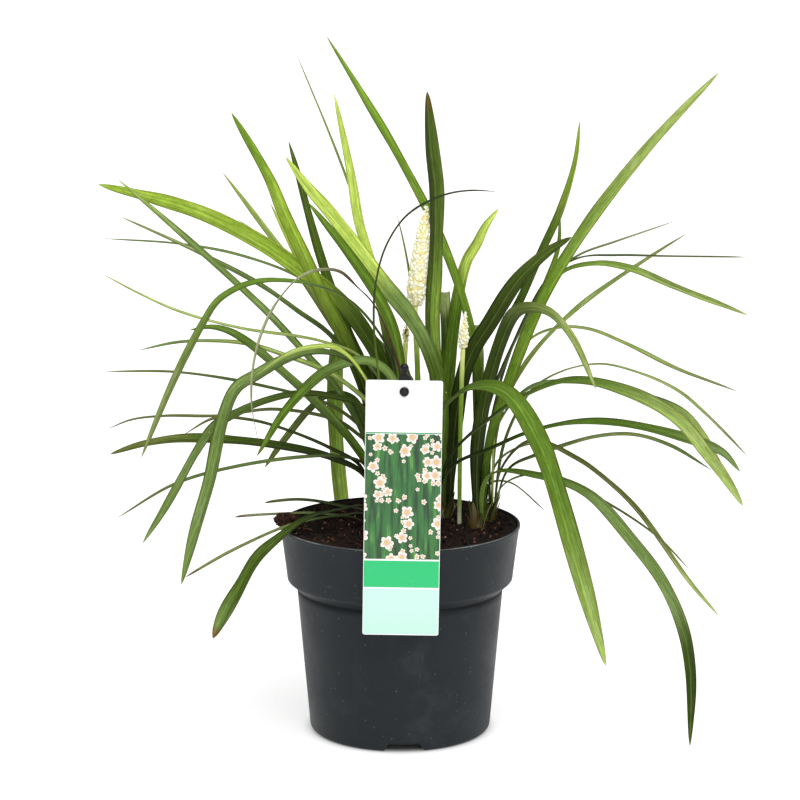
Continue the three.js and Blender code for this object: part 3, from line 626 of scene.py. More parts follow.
class Groups:
    """The node groups for effects that more than one material uses."""

    def __init__(self) -> None:
        """Builds each group once."""
        self.mottle = self._mottle()
        self.streaks = self._streaks()
        self.specks = self._specks()

    @staticmethod
    def _begin(
        name: str, inputs: dict[str, str | float], outputs: dict[str, str]
    ) -> tuple[Wiring, Sequence[Socket], Sequence[Socket]]:
        """An empty group with its named sockets.

        Args:
            name: Name of the group.
            inputs: Each input's kind, or its default value where it is a number.
            outputs: Each output's kind.

        Returns:
            Its wiring, what comes in and where it goes out.
        """
        tree = bpy.data.node_groups.new(name, "ShaderNodeTree")
        for label, given in inputs.items():
            kind = given if isinstance(given, str) else "Float"
            socket = tree.interface.new_socket(
                label, in_out="INPUT", socket_type=f"NodeSocket{kind}"
            )
            if kind == "Float":
                socket.default_value = given
        for label, kind in outputs.items():
            tree.interface.new_socket(label, in_out="OUTPUT", socket_type=f"NodeSocket{kind}")
        net = Wiring(tree)
        return net, net.node("NodeGroupInput").outputs, net.node("NodeGroupOutput").inputs

    def _mottle(self) -> Tree:
        """Colour that drifts lighter and darker in two sizes of cloud."""
        net, given, out = self._begin(
            "Mottle",
            {"Vector": "Vector", "Colour": "Color", "Scale": 40.0, "Amount": 0.2},
            {"Colour": "Color", "Cloud": "Float"},
        )
        broad = net.noise(given["Vector"], given["Scale"], 3.0)
        fine = net.noise(given["Vector"], net.times(given["Scale"], 7.0), 5.0)
        both = net.plus(net.times(broad, 0.62), net.times(fine, 0.38))
        centred = net.math("SUBTRACT", both, 0.5)
        swing = net.times(centred, net.times(given["Amount"], 4.0))
        factor = net.math("MAXIMUM", net.plus(swing, 1.0), 0.1)
        net.feed(out["Colour"], net.scaled(given["Colour"], factor))
        net.feed(out["Cloud"], both)
        return net.tree

    def _streaks(self) -> Tree:
        """Lengthwise veins: noise squeezed across a strip and drawn out along it."""
        net, given, out = self._begin(
            "Streaks",
            {"Vector": "Vector", "Across": 1100.0, "Along": 9.0},
            {"Veins": "Float", "Bands": "Float"},
        )
        x, y, _ = net.parts(given["Vector"])
        across, along = net.times(x, given["Across"]), net.times(y, given["Along"])
        fine = net.made("CombineXYZ", {"X": across, "Y": along}).outputs[0]
        fed = {"X": net.times(across, 0.34), "Y": net.times(along, 0.5), "Z": 7.3}
        broad = net.made("CombineXYZ", fed).outputs[0]
        net.feed(out["Veins"], net.noise(fine, 1.0, 2.0, 0.5))
        net.feed(out["Bands"], net.noise(broad, 1.0, 1.0, 0.4))
        return net.tree

    def _specks(self) -> Tree:
        """Sparse round spots: the middles of some cells of a scattered pattern."""
        net, given, out = self._begin(
            "Specks",
            {"Vector": "Vector", "Scale": 200.0, "Size": 0.22, "Share": 0.3},
            {"Mask": "Float"},
        )
        fed = {"Vector": given["Vector"], "Scale": given["Scale"]}
        cells = net.made("TexVoronoi", fed, feature="F1").outputs
        near = net.math("LESS_THAN", cells["Distance"], given["Size"])
        pick = net.parts(cells["Color"], "Color")[0]
        chosen = net.math("LESS_THAN", pick, given["Share"])
        net.feed(out["Mask"], net.times(near, chosen))
        return net.tree


class Paint(Wiring):
    """One material while it is wired: its shader, its coordinates and the shared groups."""

    def __init__(self, finish: Finish, groups: Groups) -> None:
        """Makes the material and sets what is the same all over it.

        Args:
            finish: What its shader is set to.
            groups: The shared node groups.
        """
        self.material = bpy.data.materials.new(finish.name)
        self.material.use_nodes = True
        super().__init__(self.material.node_tree)
        self.finish, self.groups = finish, groups
        self.shader = next(n for n in self.tree.nodes if n.type == "BSDF_PRINCIPLED").inputs
        self.feed(self.shader["Specular IOR Level"], finish.specular)
        self.feed(self.shader["Base Color"], finish.colour)
        self.feed(self.shader["Roughness"], finish.roughness[1])
        self.feed(self.shader["Specular Tint"], finish.gloss_tint)
        at = self.node("TexCoord").outputs
        self.where, self.uv = at["Object"], at["UV"]

    def tint(self) -> Socket:
        """The colour that each point of the surface carries."""
        return self.node("Attribute", attribute_name="Tint").outputs["Color"]

    def placed(self, group: Tree, **values: object) -> Sequence[Socket]:
        """What a node group puts out, with its named inputs fed."""
        return self.made("Group", values, node_tree=group).outputs

    def mottled(
        self, scale: float, amount: float, colour: Triple | None = None
    ) -> Sequence[Socket]:
        """Drifting colour and its clouds, from the surface's tint unless a colour is given."""
        colour = self.tint() if colour is None else colour
        return self.placed(
            self.groups.mottle, Vector=self.where, Colour=colour, Scale=scale, Amount=amount
        )

    def streaked(self, across: float, along: float) -> Sequence[Socket]:
        """Veins and broader bands along the surface."""
        return self.placed(self.groups.streaks, Vector=self.uv, Across=across, Along=along)

    def rough(self, cloud: Socket, low: float = 0.35, high: float = 0.65) -> Socket:
        """The finish's roughness, spread over a cloudy value."""
        return self.span(cloud, low, high, *self.finish.roughness)

    def dressed(self, colour: Socket, rough: Socket, height: Socket, depth: float) -> Material:
        """Joins the shader's inputs to what was wired for them.

        Args:
            colour: Its colour.
            rough: Its roughness.
            height: The height of its relief, from 0 to 1.
            depth: How deep that relief is, in metres.

        Returns:
            The material.
        """
        fed = {"Height": height, "Strength": self.finish.relief, "Distance": depth}
        self.feed(self.shader["Base Color"], colour)
        self.feed(self.shader["Roughness"], rough)
        self.feed(self.shader["Normal"], self.made("Bump", fed).outputs["Normal"])
        return self.material

    def leaf(self) -> Material:
        """Leaf: tinted along its length, veined, with a pale midrib, a few spots and a painted
        sheen.
        """
        veins, bands = self.streaked(1350.0, 9.0)
        colour, cloud = self.mottled(26.0, 0.16)
        lines = self.span(veins, 0.3, 0.7, 0.74, 1.26)
        colour = self.scaled(colour, self.times(lines, self.span(bands, 0.32, 0.68, 0.84, 1.16)))
        off_middle = self.math("ABSOLUTE", self.parts(self.uv)["X"])
        rib = self.span(off_middle, 0.0002, 0.0006, 0.12, 0.0)
        colour = self.mix(rib, colour, self.finish.second)
        grain = self.noise(self.uv, (620.0, 90.0, 1.0), 4.0, 0.7)
        colour = self.scaled(colour, self.span(grain, 0.34, 0.66, 0.82, 1.2))
        patches = self.span(self.noise(self.where, 30.0, 2.0), 0.42, 0.6)
        # Painted sheen: pale bluish flecks in streaks and patches where the glossy face catches the
        # light, and random darker flecks.
        sheen_streaks = self.noise(self.uv, (430.0, 34.0, 1.0), 5.0, 0.7)
        painted_sheen_tint = (1.3, 1.2, 1.85)
        share = self.times(self.span(sheen_streaks, 0.46, 0.62), patches)
        colour = self.mix(share, colour, painted_sheen_tint, "MULTIPLY")
        dark = self.span(sheen_streaks, 0.3, 0.46, 0.3, 0.0)
        colour = self.mix(dark, colour, self.scaled(colour, 0.6))
        spots = self.placed(
            self.groups.specks, Vector=self.uv, Scale=210.0, Size=0.1, Share=0.035
        )["Mask"]
        colour = self.mix(self.times(spots, 0.6), colour, ink(206, 204, 120))
        height = self.plus(veins, self.times(rib, -1.5))
        return self.dressed(colour, self.rough(cloud), height, 0.0004)

    def moulded(
        self, dust: float, rings: Sequence[Ring] = (), marks: Sequence[Mark] = ()
    ) -> Material:
        """Moulded plastic: fine grain, faint drawn scuffs, settled dust, painted light and shade.

        Args:
            dust: How much dust lies on it, from 0 to 1.
            rings: Rings of painted light: a painted highlight or a painted shadow in a crease.
            marks: Small dark marks on the front.

        Returns:
            The material.
        """
        where, pale, ring_edge = self.where, self.finish.second, 0.0006
        colour = self.mottled(14.0, 0.12, self.finish.colour)["Colour"]
        scuffs = self.noise(where, (420.0, 420.0, 26.0), 6.0, 0.7)
        scuffs = self.span(scuffs, 0.6, 0.78, 0.0, 0.16)
        colour = self.mix(scuffs, colour, pale)
        specks = self.placed(self.groups.specks, Vector=where, Scale=330.0, Size=0.2, Share=0.1)
        clouds = self.noise(where, 22.0, 5.0, 0.65)
        settled = self.times(self.span(clouds, 0.5, 0.75, 0.0, 0.35), dust)
        share = self.math("MAXIMUM", settled, self.times(specks["Mask"], 0.8 * dust))
        colour = self.mix(share, colour, pale)
        drawn = self.noise(where, (24.0, 24.0, 640.0), 3.0, 0.6)
        drawn = self.span(drawn, 0.64, 0.74, 0.0, 0.3)
        handled = self.span(self.noise(where, 16.0, 2.0), 0.52, 0.64, 0.0, dust)
        colour = self.mix(self.times(drawn, handled), colour, pale)
        # Painted shade: where the tint's red marks the inner wall, the plastic is painted near
        # black and made rough.
        inner = self.parts(self.tint(), "Color")[0]
        painted_inner_shade = self.span(inner, 0.1, 0.9, 0.0, 0.94)
        colour = self.mix(painted_inner_shade, colour, ink(12, 10, 9))
        rough = self.math("MAXIMUM", self.rough(clouds, 0.3, 0.7), painted_inner_shade)
        x, y, z = self.parts(where)
        for mark in marks:
            off_x = self.math("DIVIDE", self.math("SUBTRACT", x, mark.across), mark.wide)
            off_z = self.math("DIVIDE", self.math("SUBTRACT", z, mark.up), mark.tall)
            reach = self.plus(self.times(off_x, off_x), self.times(off_z, off_z))
            near = self.times(self.span(reach, 0.4, 1.0, 0.6, 0.0), self.math("LESS_THAN", y, 0.0))
            colour = self.mix(near, colour, mark.tone)
        # Painted light: each ring paints a highlight or a shadow round the pot, kept off the
        # painted inner shade.
        for ring in rings:
            above = self.times(self.span(z, ring.low, ring.low + ring_edge), ring.share)
            below = self.span(z, ring.high - ring_edge, ring.high, 1.0, 0.0)
            uneven = self.span(clouds, 0.38, 0.6, 0.3, 1.0)
            mask = self.times(self.times(above, below), uneven)
            mask = self.times(mask, self.math("SUBTRACT", 1.0, inner))
            colour = self.mix(mask, colour, ring.tone)
        grain = self.noise(where, 1.0 / self.finish.grain, 3.0, 0.6)
        return self.dressed(colour, rough, self.plus(grain, self.times(scuffs, -1.2)), 0.0003)

    def peat(self) -> Material:
        """Peat: tinted crumbs and fibres with a coarse dull relief."""
        colour, cloud = self.mottled(150.0, 0.45)
        red = self.span(self.noise(self.where, 230.0, 4.0, 0.7), 0.55, 0.75, 0.0, 0.5)
        colour = self.mix(red, colour, self.finish.second)
        crumb = self.noise(self.where, 1.0 / self.finish.grain, 6.0, 0.75)
        return self.dressed(colour, self.rough(cloud, 0.3, 0.7), crumb, 0.0008)

    def dry(self) -> Material:
        """Withered leaf: tinted, matt, with dark lengthwise wrinkles."""
        veins, bands = self.streaked(1900.0, 30.0)
        colour = self.mottled(60.0, 0.35)["Colour"]
        colour = self.mix(self.span(veins, 0.5, 0.72, 0.0, 0.6), colour, self.finish.second)
        return self.dressed(colour, self.rough(bands, 0.3, 0.7), veins, 0.0005)

    def stem(self) -> Material:
        """Flower stem: tinted, with shallow ribs along it."""
        ribs = self.streaked(1500.0, 14.0)["Veins"]
        colour, cloud = self.mottled(90.0, 0.16)
        colour = self.mix(self.span(ribs, 0.42, 0.7, 0.0, 0.22), colour, self.finish.second)
        return self.dressed(colour, self.rough(cloud), ribs, 0.0004)

    def bud(self) -> Material:
        """Waxy bud, warmer in random patches; the core's deeper yellow is painted shade between
        buds.
        """
        colour, cloud = self.mottled(260.0, 0.1)
        warm = self.span(self.noise(self.where, 420.0, 3.0), 0.54, 0.74, 0.0, 0.26)
        colour = self.mix(warm, colour, self.finish.second)
        wax = self.noise(self.where, 1.0 / self.finish.grain, 2.0)
        self.feed(self.shader["Subsurface Weight"], 0.15)
        self.feed(self.shader["Subsurface Radius"], (0.0016, 0.0012, 0.0007))
        return self.dressed(colour, self.rough(cloud), wax, 0.0002)

    def floor(self) -> Material:
        """Pale studio floor, lit from within a little, but not under the pot: a painted contact
        shadow.
        """
        cloud = self.noise(self.where, 1.5, 2.0)
        colour = self.mix(cloud, self.finish.colour, self.finish.second)
        away = self.made("VectorMath", {0: self.where}, operation="LENGTH").outputs["Value"]
        # Painted shadow: no glow within under_pot of the axis, full glow from beside_pot out.
        under_pot, beside_pot = 0.054, 0.072
        glow = self.mix(self.span(away, under_pot, beside_pot), (0.0,) * 3, (1.0,) * 3)
        self.feed(self.shader["Base Color"], colour)
        self.feed(self.shader["Emission Color"], glow)
        self.feed(self.shader["Emission Strength"], 0.6)
        return self.material


# ---- pot


@dataclass
class Pot:
    """The tapered nursery pot: a foot ring with notches, a shoulder, a band and a lip."""

    height: float = 149.0
    foot_radius: float = 64.3
    foot_round: float = 4.5
    foot_width: float = 5.0
    shoulder_radius: float = 72.8
    shoulder_height: float = 102.0
    band_radius: float = 79.8
    band_height: float = 110.0
    rim_radius: float = 84.2
    lip_radius: float = 84.9
    lip_height: float = 2.2
    wall: float = 1.6
    floor_under: float = 7.0
    floor: float = 1.8
    sides: int = 360
    notch_count: int = 3
    notch_turn: float = 2.6
    notch_foot: float = 29.0
    notch_top: float = 22.0
    notch_height: float = 6.0

    def inner_radius(self, height: Array | float) -> Array | float:
        """The inner radius of the wall at a height."""
        heights = [0, self.shoulder_height, self.band_height, self.height]
        radii = [self.foot_radius, self.shoulder_radius, self.band_radius, self.rim_radius]
        return np.interp(height, heights, radii) - self.wall

    def profile(self) -> Array:
        """The wall's section from the axis below to the axis above.

        The foot is a quarter circle and the body a straight taper. The crease, the ledge
        of the band and the lip are set out from the corners that they belong to.

        Returns:
            Rows of radius and height.
        """
        turn = np.linspace(0, np.pi / 2, 7)
        round_out = self.foot_radius - self.foot_round * (1 - np.sin(turn))
        foot = np.stack([round_out, self.foot_round * (1 - np.cos(turn))], axis=1)
        rise = np.linspace(self.foot_round, self.shoulder_height, 22)[1:]
        ends = [self.foot_round, self.shoulder_height]
        taper = np.interp(rise, ends, [self.foot_radius, self.shoulder_radius])
        ring_inner = self.foot_radius - self.foot_round - self.foot_width
        shoulder = np.array([self.shoulder_radius, self.shoulder_height])
        band = np.array([self.band_radius, self.band_height])
        rim, lip = np.array([[self.rim_radius, self.height], [self.lip_radius, self.height]])
        drop = np.array([0, self.lip_height])
        mouth = rim - np.array([self.wall, 0])
        floor = self.floor_under + self.floor
        levels = (self.band_height, self.shoulder_height, floor)
        return np.concatenate(
            [
                [[0, self.floor_under], [ring_inner - 1.5, self.floor_under], [ring_inner, 0]],
                foot,
                np.stack([taper, rise], axis=1),
                shoulder + [[-0.55, 0.35], [-0.6, 1.2], [0.7, 1.9]],
                band + [[-1.6, -1.4], [-0.8, -0.9], [-0.2, -0.1], [0, 0.8], [0.3, 4]],
                rim + [[-1.5, -14]],
                rim - drop + [[0, -0.4], [0.12, 0]],
                lip - drop + [[-0.1, 0.3], [0, 0.7]],
                lip + [[0, -0.7], [-0.2, -0.2], [-0.6, 0]],
                mouth + [[0.4, 0], [0, -0.3]],
                [[self.inner_radius(z), z] for z in levels] + [[0, floor]],
            ]
        )

    def notch_rise(self, x: Array, y: Array) -> Array:
        """How high each place of the foot is cut away: a flat top with sloped sides.

        Args:
            x: Places across.
            y: Places in depth.

        Returns:
            The height of the notch there, or zero beside it.
        """
        step = 2 * np.pi / self.notch_count
        angle = np.arctan2(x, -y) - math.radians(self.notch_turn)
        off = np.abs((angle + step / 2) % step - step / 2) * np.hypot(x, y)
        slope = (self.notch_foot - self.notch_top) / 2
        return self.notch_height * np.clip((self.notch_foot / 2 - off) / slope, 0, 1)

    def build(self, material: Material) -> Piece:
        """Turns the profile, lifts its foot in the notches and marks the inner wall for painted
        shade.

        Args:
            material: The pot's plastic.

        Returns:
            The piece.
        """
        shell = lathe(self.profile(), self.sides)
        x, y, z = shell.points.T
        notched = np.maximum(z, self.notch_rise(x, y))
        shell.points[:, 2] = np.where(z < self.notch_height, notched, z)
        # Painted shade: the inner wall above the pot's floor is marked to be painted near black.
        painted_inner_shade = (np.hypot(x, y) < self.inner_radius(z) + 0.5) & (z > self.floor_under + 1)
        shell.tint = np.repeat(painted_inner_shade[:, None].astype(float), 3, axis=1)
        return make_piece("pot_shell", shell, material, "pot")


# ---- soil


@dataclass
class Soil:
    """Dark peat that fills the pot: an uneven bed, crumbs, fibres and pale grit."""

    pot: Pot
    level: float = 146.0
    gap: float = 0.35
    dome: float = 2.0
    bank: float = 1.7
    relief: float = 0.8
    clump_at: Triple = (-80.0, -3.0, 150.6)
    clump_size: Triple = (8.6, 8.8, 5.0)
    crumb_count: int = 900
    fibre_count: int = 260
    clump_crumb_count: int = 90
    seed: int = 5

    @property
    def edge(self) -> float:
        """The radius of the bed's wall at its level, without the gap."""
        return float(self.pot.inner_radius(self.level))

    def height(self, x: Array, y: Array) -> Array:
        """The height of the surface: a low dome with slow waves, banked up at the wall.

        Args:
            x: Places across.
            y: Places in depth.

        Returns:
            Heights.
        """
        reach = np.hypot(x, y) / self.pot.rim_radius
        banked = self.bank * smooth_step(0.83, 0.97, reach)
        slow = np.sin(x * 0.19 + 1.3) * np.cos(y * 0.23 - 0.7)
        slow = slow + 0.6 * np.sin(x * 0.41 + y * 0.37) + 0.4 * np.cos(x * 0.73 - y * 0.52 + 2)
        domed = self.dome * (1 - reach**2) + self.relief * slow * (1 - reach**4)
        return self.level + domed + banked

    def crumbled(self, x: Array, y: Array) -> Array:
        """Fine lumps on the bed: three sizes of waves, folded upwards."""
        at = np.stack([x, y], axis=-1)
        coarse = 1.1 * (1 - np.abs(waves(at, 9.0, 31)))
        middle = 0.75 * (1 - np.abs(waves(at, 4.2, 32)))
        return coarse + middle + 0.35 * waves(at, 1.9, 33) - 0.6

    def bed(self) -> Surface:
        """The body of the soil, as a turned surface with a crumbled top."""
        bottom, edge = self.pot.floor_under + self.pot.floor + self.gap, self.edge - self.gap
        levels = (bottom, self.pot.shoulder_height, self.pot.band_height, self.level - 3)
        wall = [[0, bottom]] + [[self.pot.inner_radius(z) - self.gap, z] for z in levels]
        marked, rings = self.level + 50, np.linspace(1, 0.005, 112) * edge
        top = np.stack([rings, np.full(len(rings), marked)], axis=1)
        surface = lathe(np.concatenate([np.array(wall), top]), 300)
        x, y, z = surface.points.T
        lumps = self.crumbled(x, y)
        high = self.height(x, y) + lumps * smooth_step(0, 4, edge - np.hypot(x, y))
        surface.points[:, 2] = np.where(z > marked - 30, high, z)
        # Painted shade: the bed is darker in the hollows between its lumps and lighter on their
        # tops.
        depth = smooth_step(-0.8, 1.6, lumps)[:, None]
        surface.tint = blend(linear(14, 9, 7), linear(44, 27, 19), depth)
        return surface

    def lump(self) -> Surface:
        """An uneven pebble of about unit radius: a sphere with seeded bumps."""
        round_ = ball(7, 9)
        return grid_surface(round_ * (1 + 0.2 * waves(round_, 1.3, 77)[..., None]))

    def scattered(self, draw: Draw, count: int, inset: float) -> Array:
        """Seeded places on the bed.

        Args:
            draw: The seeded generator.
            count: Number of places.
            inset: Least distance from the pot's wall.

        Returns:
            Rows of places.
        """
        radius = np.sqrt(draw.uniform(0, (self.edge - inset) ** 2, count))
        angle = draw.uniform(0, 2 * np.pi, count)
        x, y = radius * np.cos(angle), radius * np.sin(angle)
        return np.stack([x, y, self.height(x, y) + self.crumbled(x, y)], axis=1)

    def crumbs(self) -> Surface:
        """Loose crumbs, flakes and pale grit that lie on the bed."""
        draw, count = np.random.default_rng(self.seed), self.crumb_count
        places = self.scattered(draw, count, 3.5)
        sizes = draw.uniform(0.45, 1.5, (count, 1)) * draw.uniform(0.55, 1.25, (count, 3))
        places[:, 2] += sizes[:, 2] * 0.3
        tones = palette((16, 11, 8), (34, 21, 15), (64, 38, 27), (126, 88, 70), (196, 176, 156))
        kind = draw.choice(5, count, p=[0.4, 0.33, 0.15, 0.09, 0.03])
        turns = turns_to(unit(draw.normal(size=(count, 3))), draw)
        sizes[kind == 4] *= 0.62
        return copies(self.lump(), places, turns, sizes, tones[kind])

    def fibres(self) -> Surface:
        """Short bent root fibres and bark strips, lying or standing a little out."""
        draw, count = np.random.default_rng(self.seed + 1), self.fibre_count
        rows = np.linspace(-1, 1, 7)
        line = np.stack([0.12 * np.sin(rows * 2.4), rows, 0.16 * (1 - rows**2)], axis=1)
        pattern = rod(line, 0.05 * (1.15 - rows**2), 5, np.ones((7, 3)))
        places = self.scattered(draw, count, 8)
        places[:, 2] += draw.uniform(0.1, 0.7, count)
        lean = [draw.normal(0, 0.22, count), draw.normal(0, 0.22, count), np.ones(count)]
        turns = turns_to(unit(np.stack(lean, axis=1)), draw)
        length, thick = draw.uniform(1.6, 5.5, count), draw.uniform(1.8, 4.6, count)
        sizes = np.stack([thick, length, thick], axis=1)
        tones = palette((60, 36, 24), (112, 64, 40), (150, 104, 70), (40, 26, 18))
        return copies(pattern, places, turns, sizes, tones[draw.choice(4, count)])

    def clump(self) -> Surface:
        """The clump that lies over the rim on the left: crumbs held in one lump."""
        lump = ball(34, 60)
        bumps = 1 + 0.12 * waves(lump, 0.9, 41) + 0.08 * waves(lump, 0.4, 42)
        lump = lump * bumps[..., None] * np.array(self.clump_size)
        place = lump + np.array(self.clump_at)
        over_rim = np.hypot(place[..., 0], place[..., 1]) > self.edge - 0.8
        floor = np.where(over_rim, self.pot.height + 0.25, self.level - 4)
        place[..., 2] = np.maximum(place[..., 2], floor)
        share = smooth_step(-0.8, 0.9, waves(lump, 2.2, 43))[..., None]
        return grid_surface(place, tint=blend(linear(24, 15, 11), linear(72, 42, 28), share))

    def clump_crumbs(self) -> Surface:
        """Crumbs and fibres that stand out of the clump."""
        draw, count = np.random.default_rng(self.seed + 9), self.clump_crumb_count
        way = unit(draw.normal(size=(count, 3)) + np.array([0, 0, 0.7]))
        way[:, 2] = np.abs(way[:, 2])
        places = np.array(self.clump_at) + way * np.array(self.clump_size) * 0.96
        sizes = draw.uniform(0.5, 1.6, (count, 1)) * draw.uniform(0.6, 1.2, (count, 3))
        tones = palette((26, 17, 12), (60, 36, 25), (104, 62, 42))
        turns = turns_to(way, draw)
        return copies(self.lump(), places, turns, sizes, tones[draw.choice(3, count)])

    def build(self, material: Material) -> Piece:
        """Joins the bed, the crumbs, the fibres and the clump into one piece of peat."""
        parts = [self.bed(), self.crumbs(), self.fibres(), self.clump(), self.clump_crumbs()]
        return make_piece("soil_bed", joined(parts), material, "soil")


# ---- easel


@dataclass(frozen=True)
class Easel:
    """A sheet on which the plant is drawn, square to a line of sight that looks down.

    It passes through the pot's axis at the height of the aim, at a distance from the eye.
    """

    aim: float = 237.0
    distance: float = 1914.0
    pitch: float = 10.85

    @property
    def eye(self) -> Array:
        """Where the eye is."""
        turn = math.radians(self.pitch)
        back, up = self.distance * math.cos(turn), self.distance * math.sin(turn)
        return np.array([0.0, -back, self.aim + up])

    def carried(self, stations: Sequence[Triple]) -> Array:
        """Drawn stations carried along their sight lines to their true depths.

        The point drawn at (across, up) is q = (across, up sin p, aim + up cos p). The
        station lies on the line from the eye e through q, where its Y is the depth:
        e + (q - e) (depth - e_y) / (q_y - e_y).

        Args:
            stations: Rows of across, up and depth.

        Returns:
            Rows of places.
        """
        across, up, depth = np.array(stations, dtype=float).T
        turn = math.radians(self.pitch)
        drawn = np.stack([across, up * math.sin(turn), self.aim + up * math.cos(turn)], axis=1)
        share = (depth - self.eye[1]) / (drawn[:, 1] - self.eye[1])
        return self.eye + (drawn - self.eye) * share[:, None]


EASEL = Easel()


# ---- blades and tufts


@dataclass(frozen=True)
class Blade:
    """One leaf.

    Attributes:
        width: Greatest width, in millimetres.
        taper: Share of its length where the taper to the tip begins.
        faces: How far the upper face is turned to the front at the root, in the middle
            and at the tip, in degrees.
        tones: Its colour at the root, in the middle and near the tip, with painted light and shade.
        stations: Rows of across, up and depth on the easel, from the root out.
        tip: How it ends.
        curl: How far it twists to and fro along its length, in degrees.
        split: Painted light: how much lighter its right half is painted than its left.
        swell: Share of its width at the root, and where along it the width is full.
        changes: Where the root's tone starts and ends changing to the middle's, and the
            middle's to the tip's.
    """

    width: float
    taper: float
    faces: Triple
    tones: tuple[Leaf, Leaf, Leaf]
    stations: tuple[Triple, ...]
    tip: Tip = Tip.GREEN
    curl: float = 3.5
    split: float = 0.1
    swell: Pair = (0.52, 0.35)
    changes: tuple[float, float, float, float] = (0.2, 0.6, 0.62, 0.95)

    def line(self, tuft: "Tuft") -> Array:
        """The middle line from the root in the crown through the stations.

        Args:
            tuft: The tuft that it grows in.

        Returns:
            Evenly spaced places.
        """
        places, middle = EASEL.carried(self.stations), np.array(tuft.at)
        away = places[0, :2] - middle
        if np.linalg.norm(away) < 1:
            away = places[1, :2] - middle
        away = away / np.linalg.norm(away)
        root = [*(middle + tuft.ring * away), tuft.level - tuft.root_depth]
        rough = np.vstack([np.array(root), places])
        fewest, most, apart = 26, 190, 2.8
        return smooth_line(rough, int(np.clip(line_length(rough) / apart, fewest, most)))

    def surface(self, tuft: "Tuft", seed: int) -> Surface:
        """The leaf as a closed surface.

        Across the leaf, s goes from -1 to 1. The face lies at s h sideways and
        0.26 h |s|^1.3 up along the normal, so it is a shallow trough, and its two sides
        lie 0.40 - 0.24 s² above and below that. The half width h grows from the root,
        holds, and falls to the tip as (1 - out^3)^0.62.

        Args:
            tuft: The tuft that it grows in.
            seed: Seed of its small unevenness.

        Returns:
            The closed surface with its tints and pattern coordinates.
        """
        line = self.line(tuft)
        share, length = np.linspace(0, 1, len(line)), line_length(line)
        tangent = unit(np.gradient(line, axis=0))
        reach = unit((line[-1] - line[0]) * np.array([1, 1, 0]))
        natural = unit(np.cross(np.array([reach[1], -reach[0], 0]), tangent))
        front = np.array([0, -1, 0]) + tangent * tangent[:, 1:2]
        sway_apart, uv_starts = 90.0, 97
        sway = self.curl * waves(share[:, None] * length, sway_apart, seed, 6)
        turn = np.radians(np.interp(share, [0, 0.5, 1], self.faces) + sway * share)[:, None]
        normal = unit(natural * np.cos(turn) + front * np.sin(turn))
        side = np.cross(tangent, normal)
        half = self.half_width(share, length, seed)
        columns, under = strip(9)
        thin = np.clip(half / 1.2, 0.35, 1)[:, None]
        lift = 0.26 * half[:, None] * np.abs(columns) ** 1.3
        lift = lift + under * (0.40 - 0.24 * columns**2) * thin
        out = half[:, None] * columns
        points = line[:, None] + out[..., None] * side[:, None] + lift[..., None] * normal[:, None]
        along = share[:, None] * length + (seed % uv_starts) * 50.0
        uv = np.stack([out, np.broadcast_to(along, out.shape)], axis=-1)
        return grid_surface(points, uv, self.tints(share, length, columns, under))

    def half_width(self, share: Array, length: float, seed: int) -> Array:
        """Half the width along the leaf, a little uneven.

        Args:
            share: Shares of the length.
            length: The length.
            seed: Seed of the unevenness.

        Returns:
            Half widths.
        """
        base = self.swell[0] + (1 - self.swell[0]) * smooth_step(0, self.swell[1], share)
        out = np.clip((share - self.taper) / (1 - self.taper), 0, 1)
        taper = (1 - out**3) ** 0.62
        uneven = 1 + 0.035 * waves(share[:, None] * length, 70.0, seed + 1, 6)
        return np.maximum(0.2, self.width * base * taper * uneven / 2)

    def tints(
        self, share: Array, length: float, columns: Array, under: Array
    ) -> Array:
        """The colour of each point: tones with painted light and shade, paler beneath, a dried tip.

        Args:
            share: Shares of the length, one a row.
            length: The length.
            columns: Where each column lies across, from -1 to 1.
            under: 1 for the upper face and -1 for the lower.

        Returns:
            Rows by columns of linear colours.
        """
        # The tones paint light and shade along the leaf: darker where it lies shaded in the tuft,
        # lighter where it is lit.
        root, middle, tip = (tone.tint for tone in self.tones)
        along = blend(root, middle, smooth_step(*self.changes[:2], share)[:, None])
        along = blend(along, tip, smooth_step(*self.changes[2:], share)[:, None])
        sheath = np.clip(1 - share * length / 16.0, 0, 1)[:, None]
        along = along + (Leaf.BROWN.tint - along) * sheath * 0.8
        if self.tip is not Tip.GREEN:
            dried = smooth_step(1 - self.tip.value * 1.6, 1 - self.tip.value * 0.6, share)[:, None]
            along = along + (Leaf.RUST.tint - along) * dried * 0.85
        pale = Leaf.PALE.tint * (along.mean(axis=1, keepdims=True) / Leaf.PALE.tint.mean())
        beneath = (along * 0.7 + pale * 0.3) * 1.06
        face = np.where(under[None, :, None] > 0, along[:, None], beneath[:, None])
        rim = np.abs(columns)[None, :, None] ** 5
        # Painted light: one half of the folded leaf is painted lighter than the other, as the two
        # halves would face the light differently.
        lit_halves = 1 + self.split * np.tanh(columns * 6)[None, :, None]
        return face * lit_halves * (1 - rim * LEAF_RIM) * LEAF_DEPTH


def blade(
    width: float,
    taper: float,
    faces: Triple,
    tones: tuple[Leaf, Leaf, Leaf],
    *stations: Triple,
    **traits: object,
) -> Blade:
    """A leaf, with its stations given one after another and its other traits by name."""
    return Blade(width, taper, faces, tones, stations, **traits)


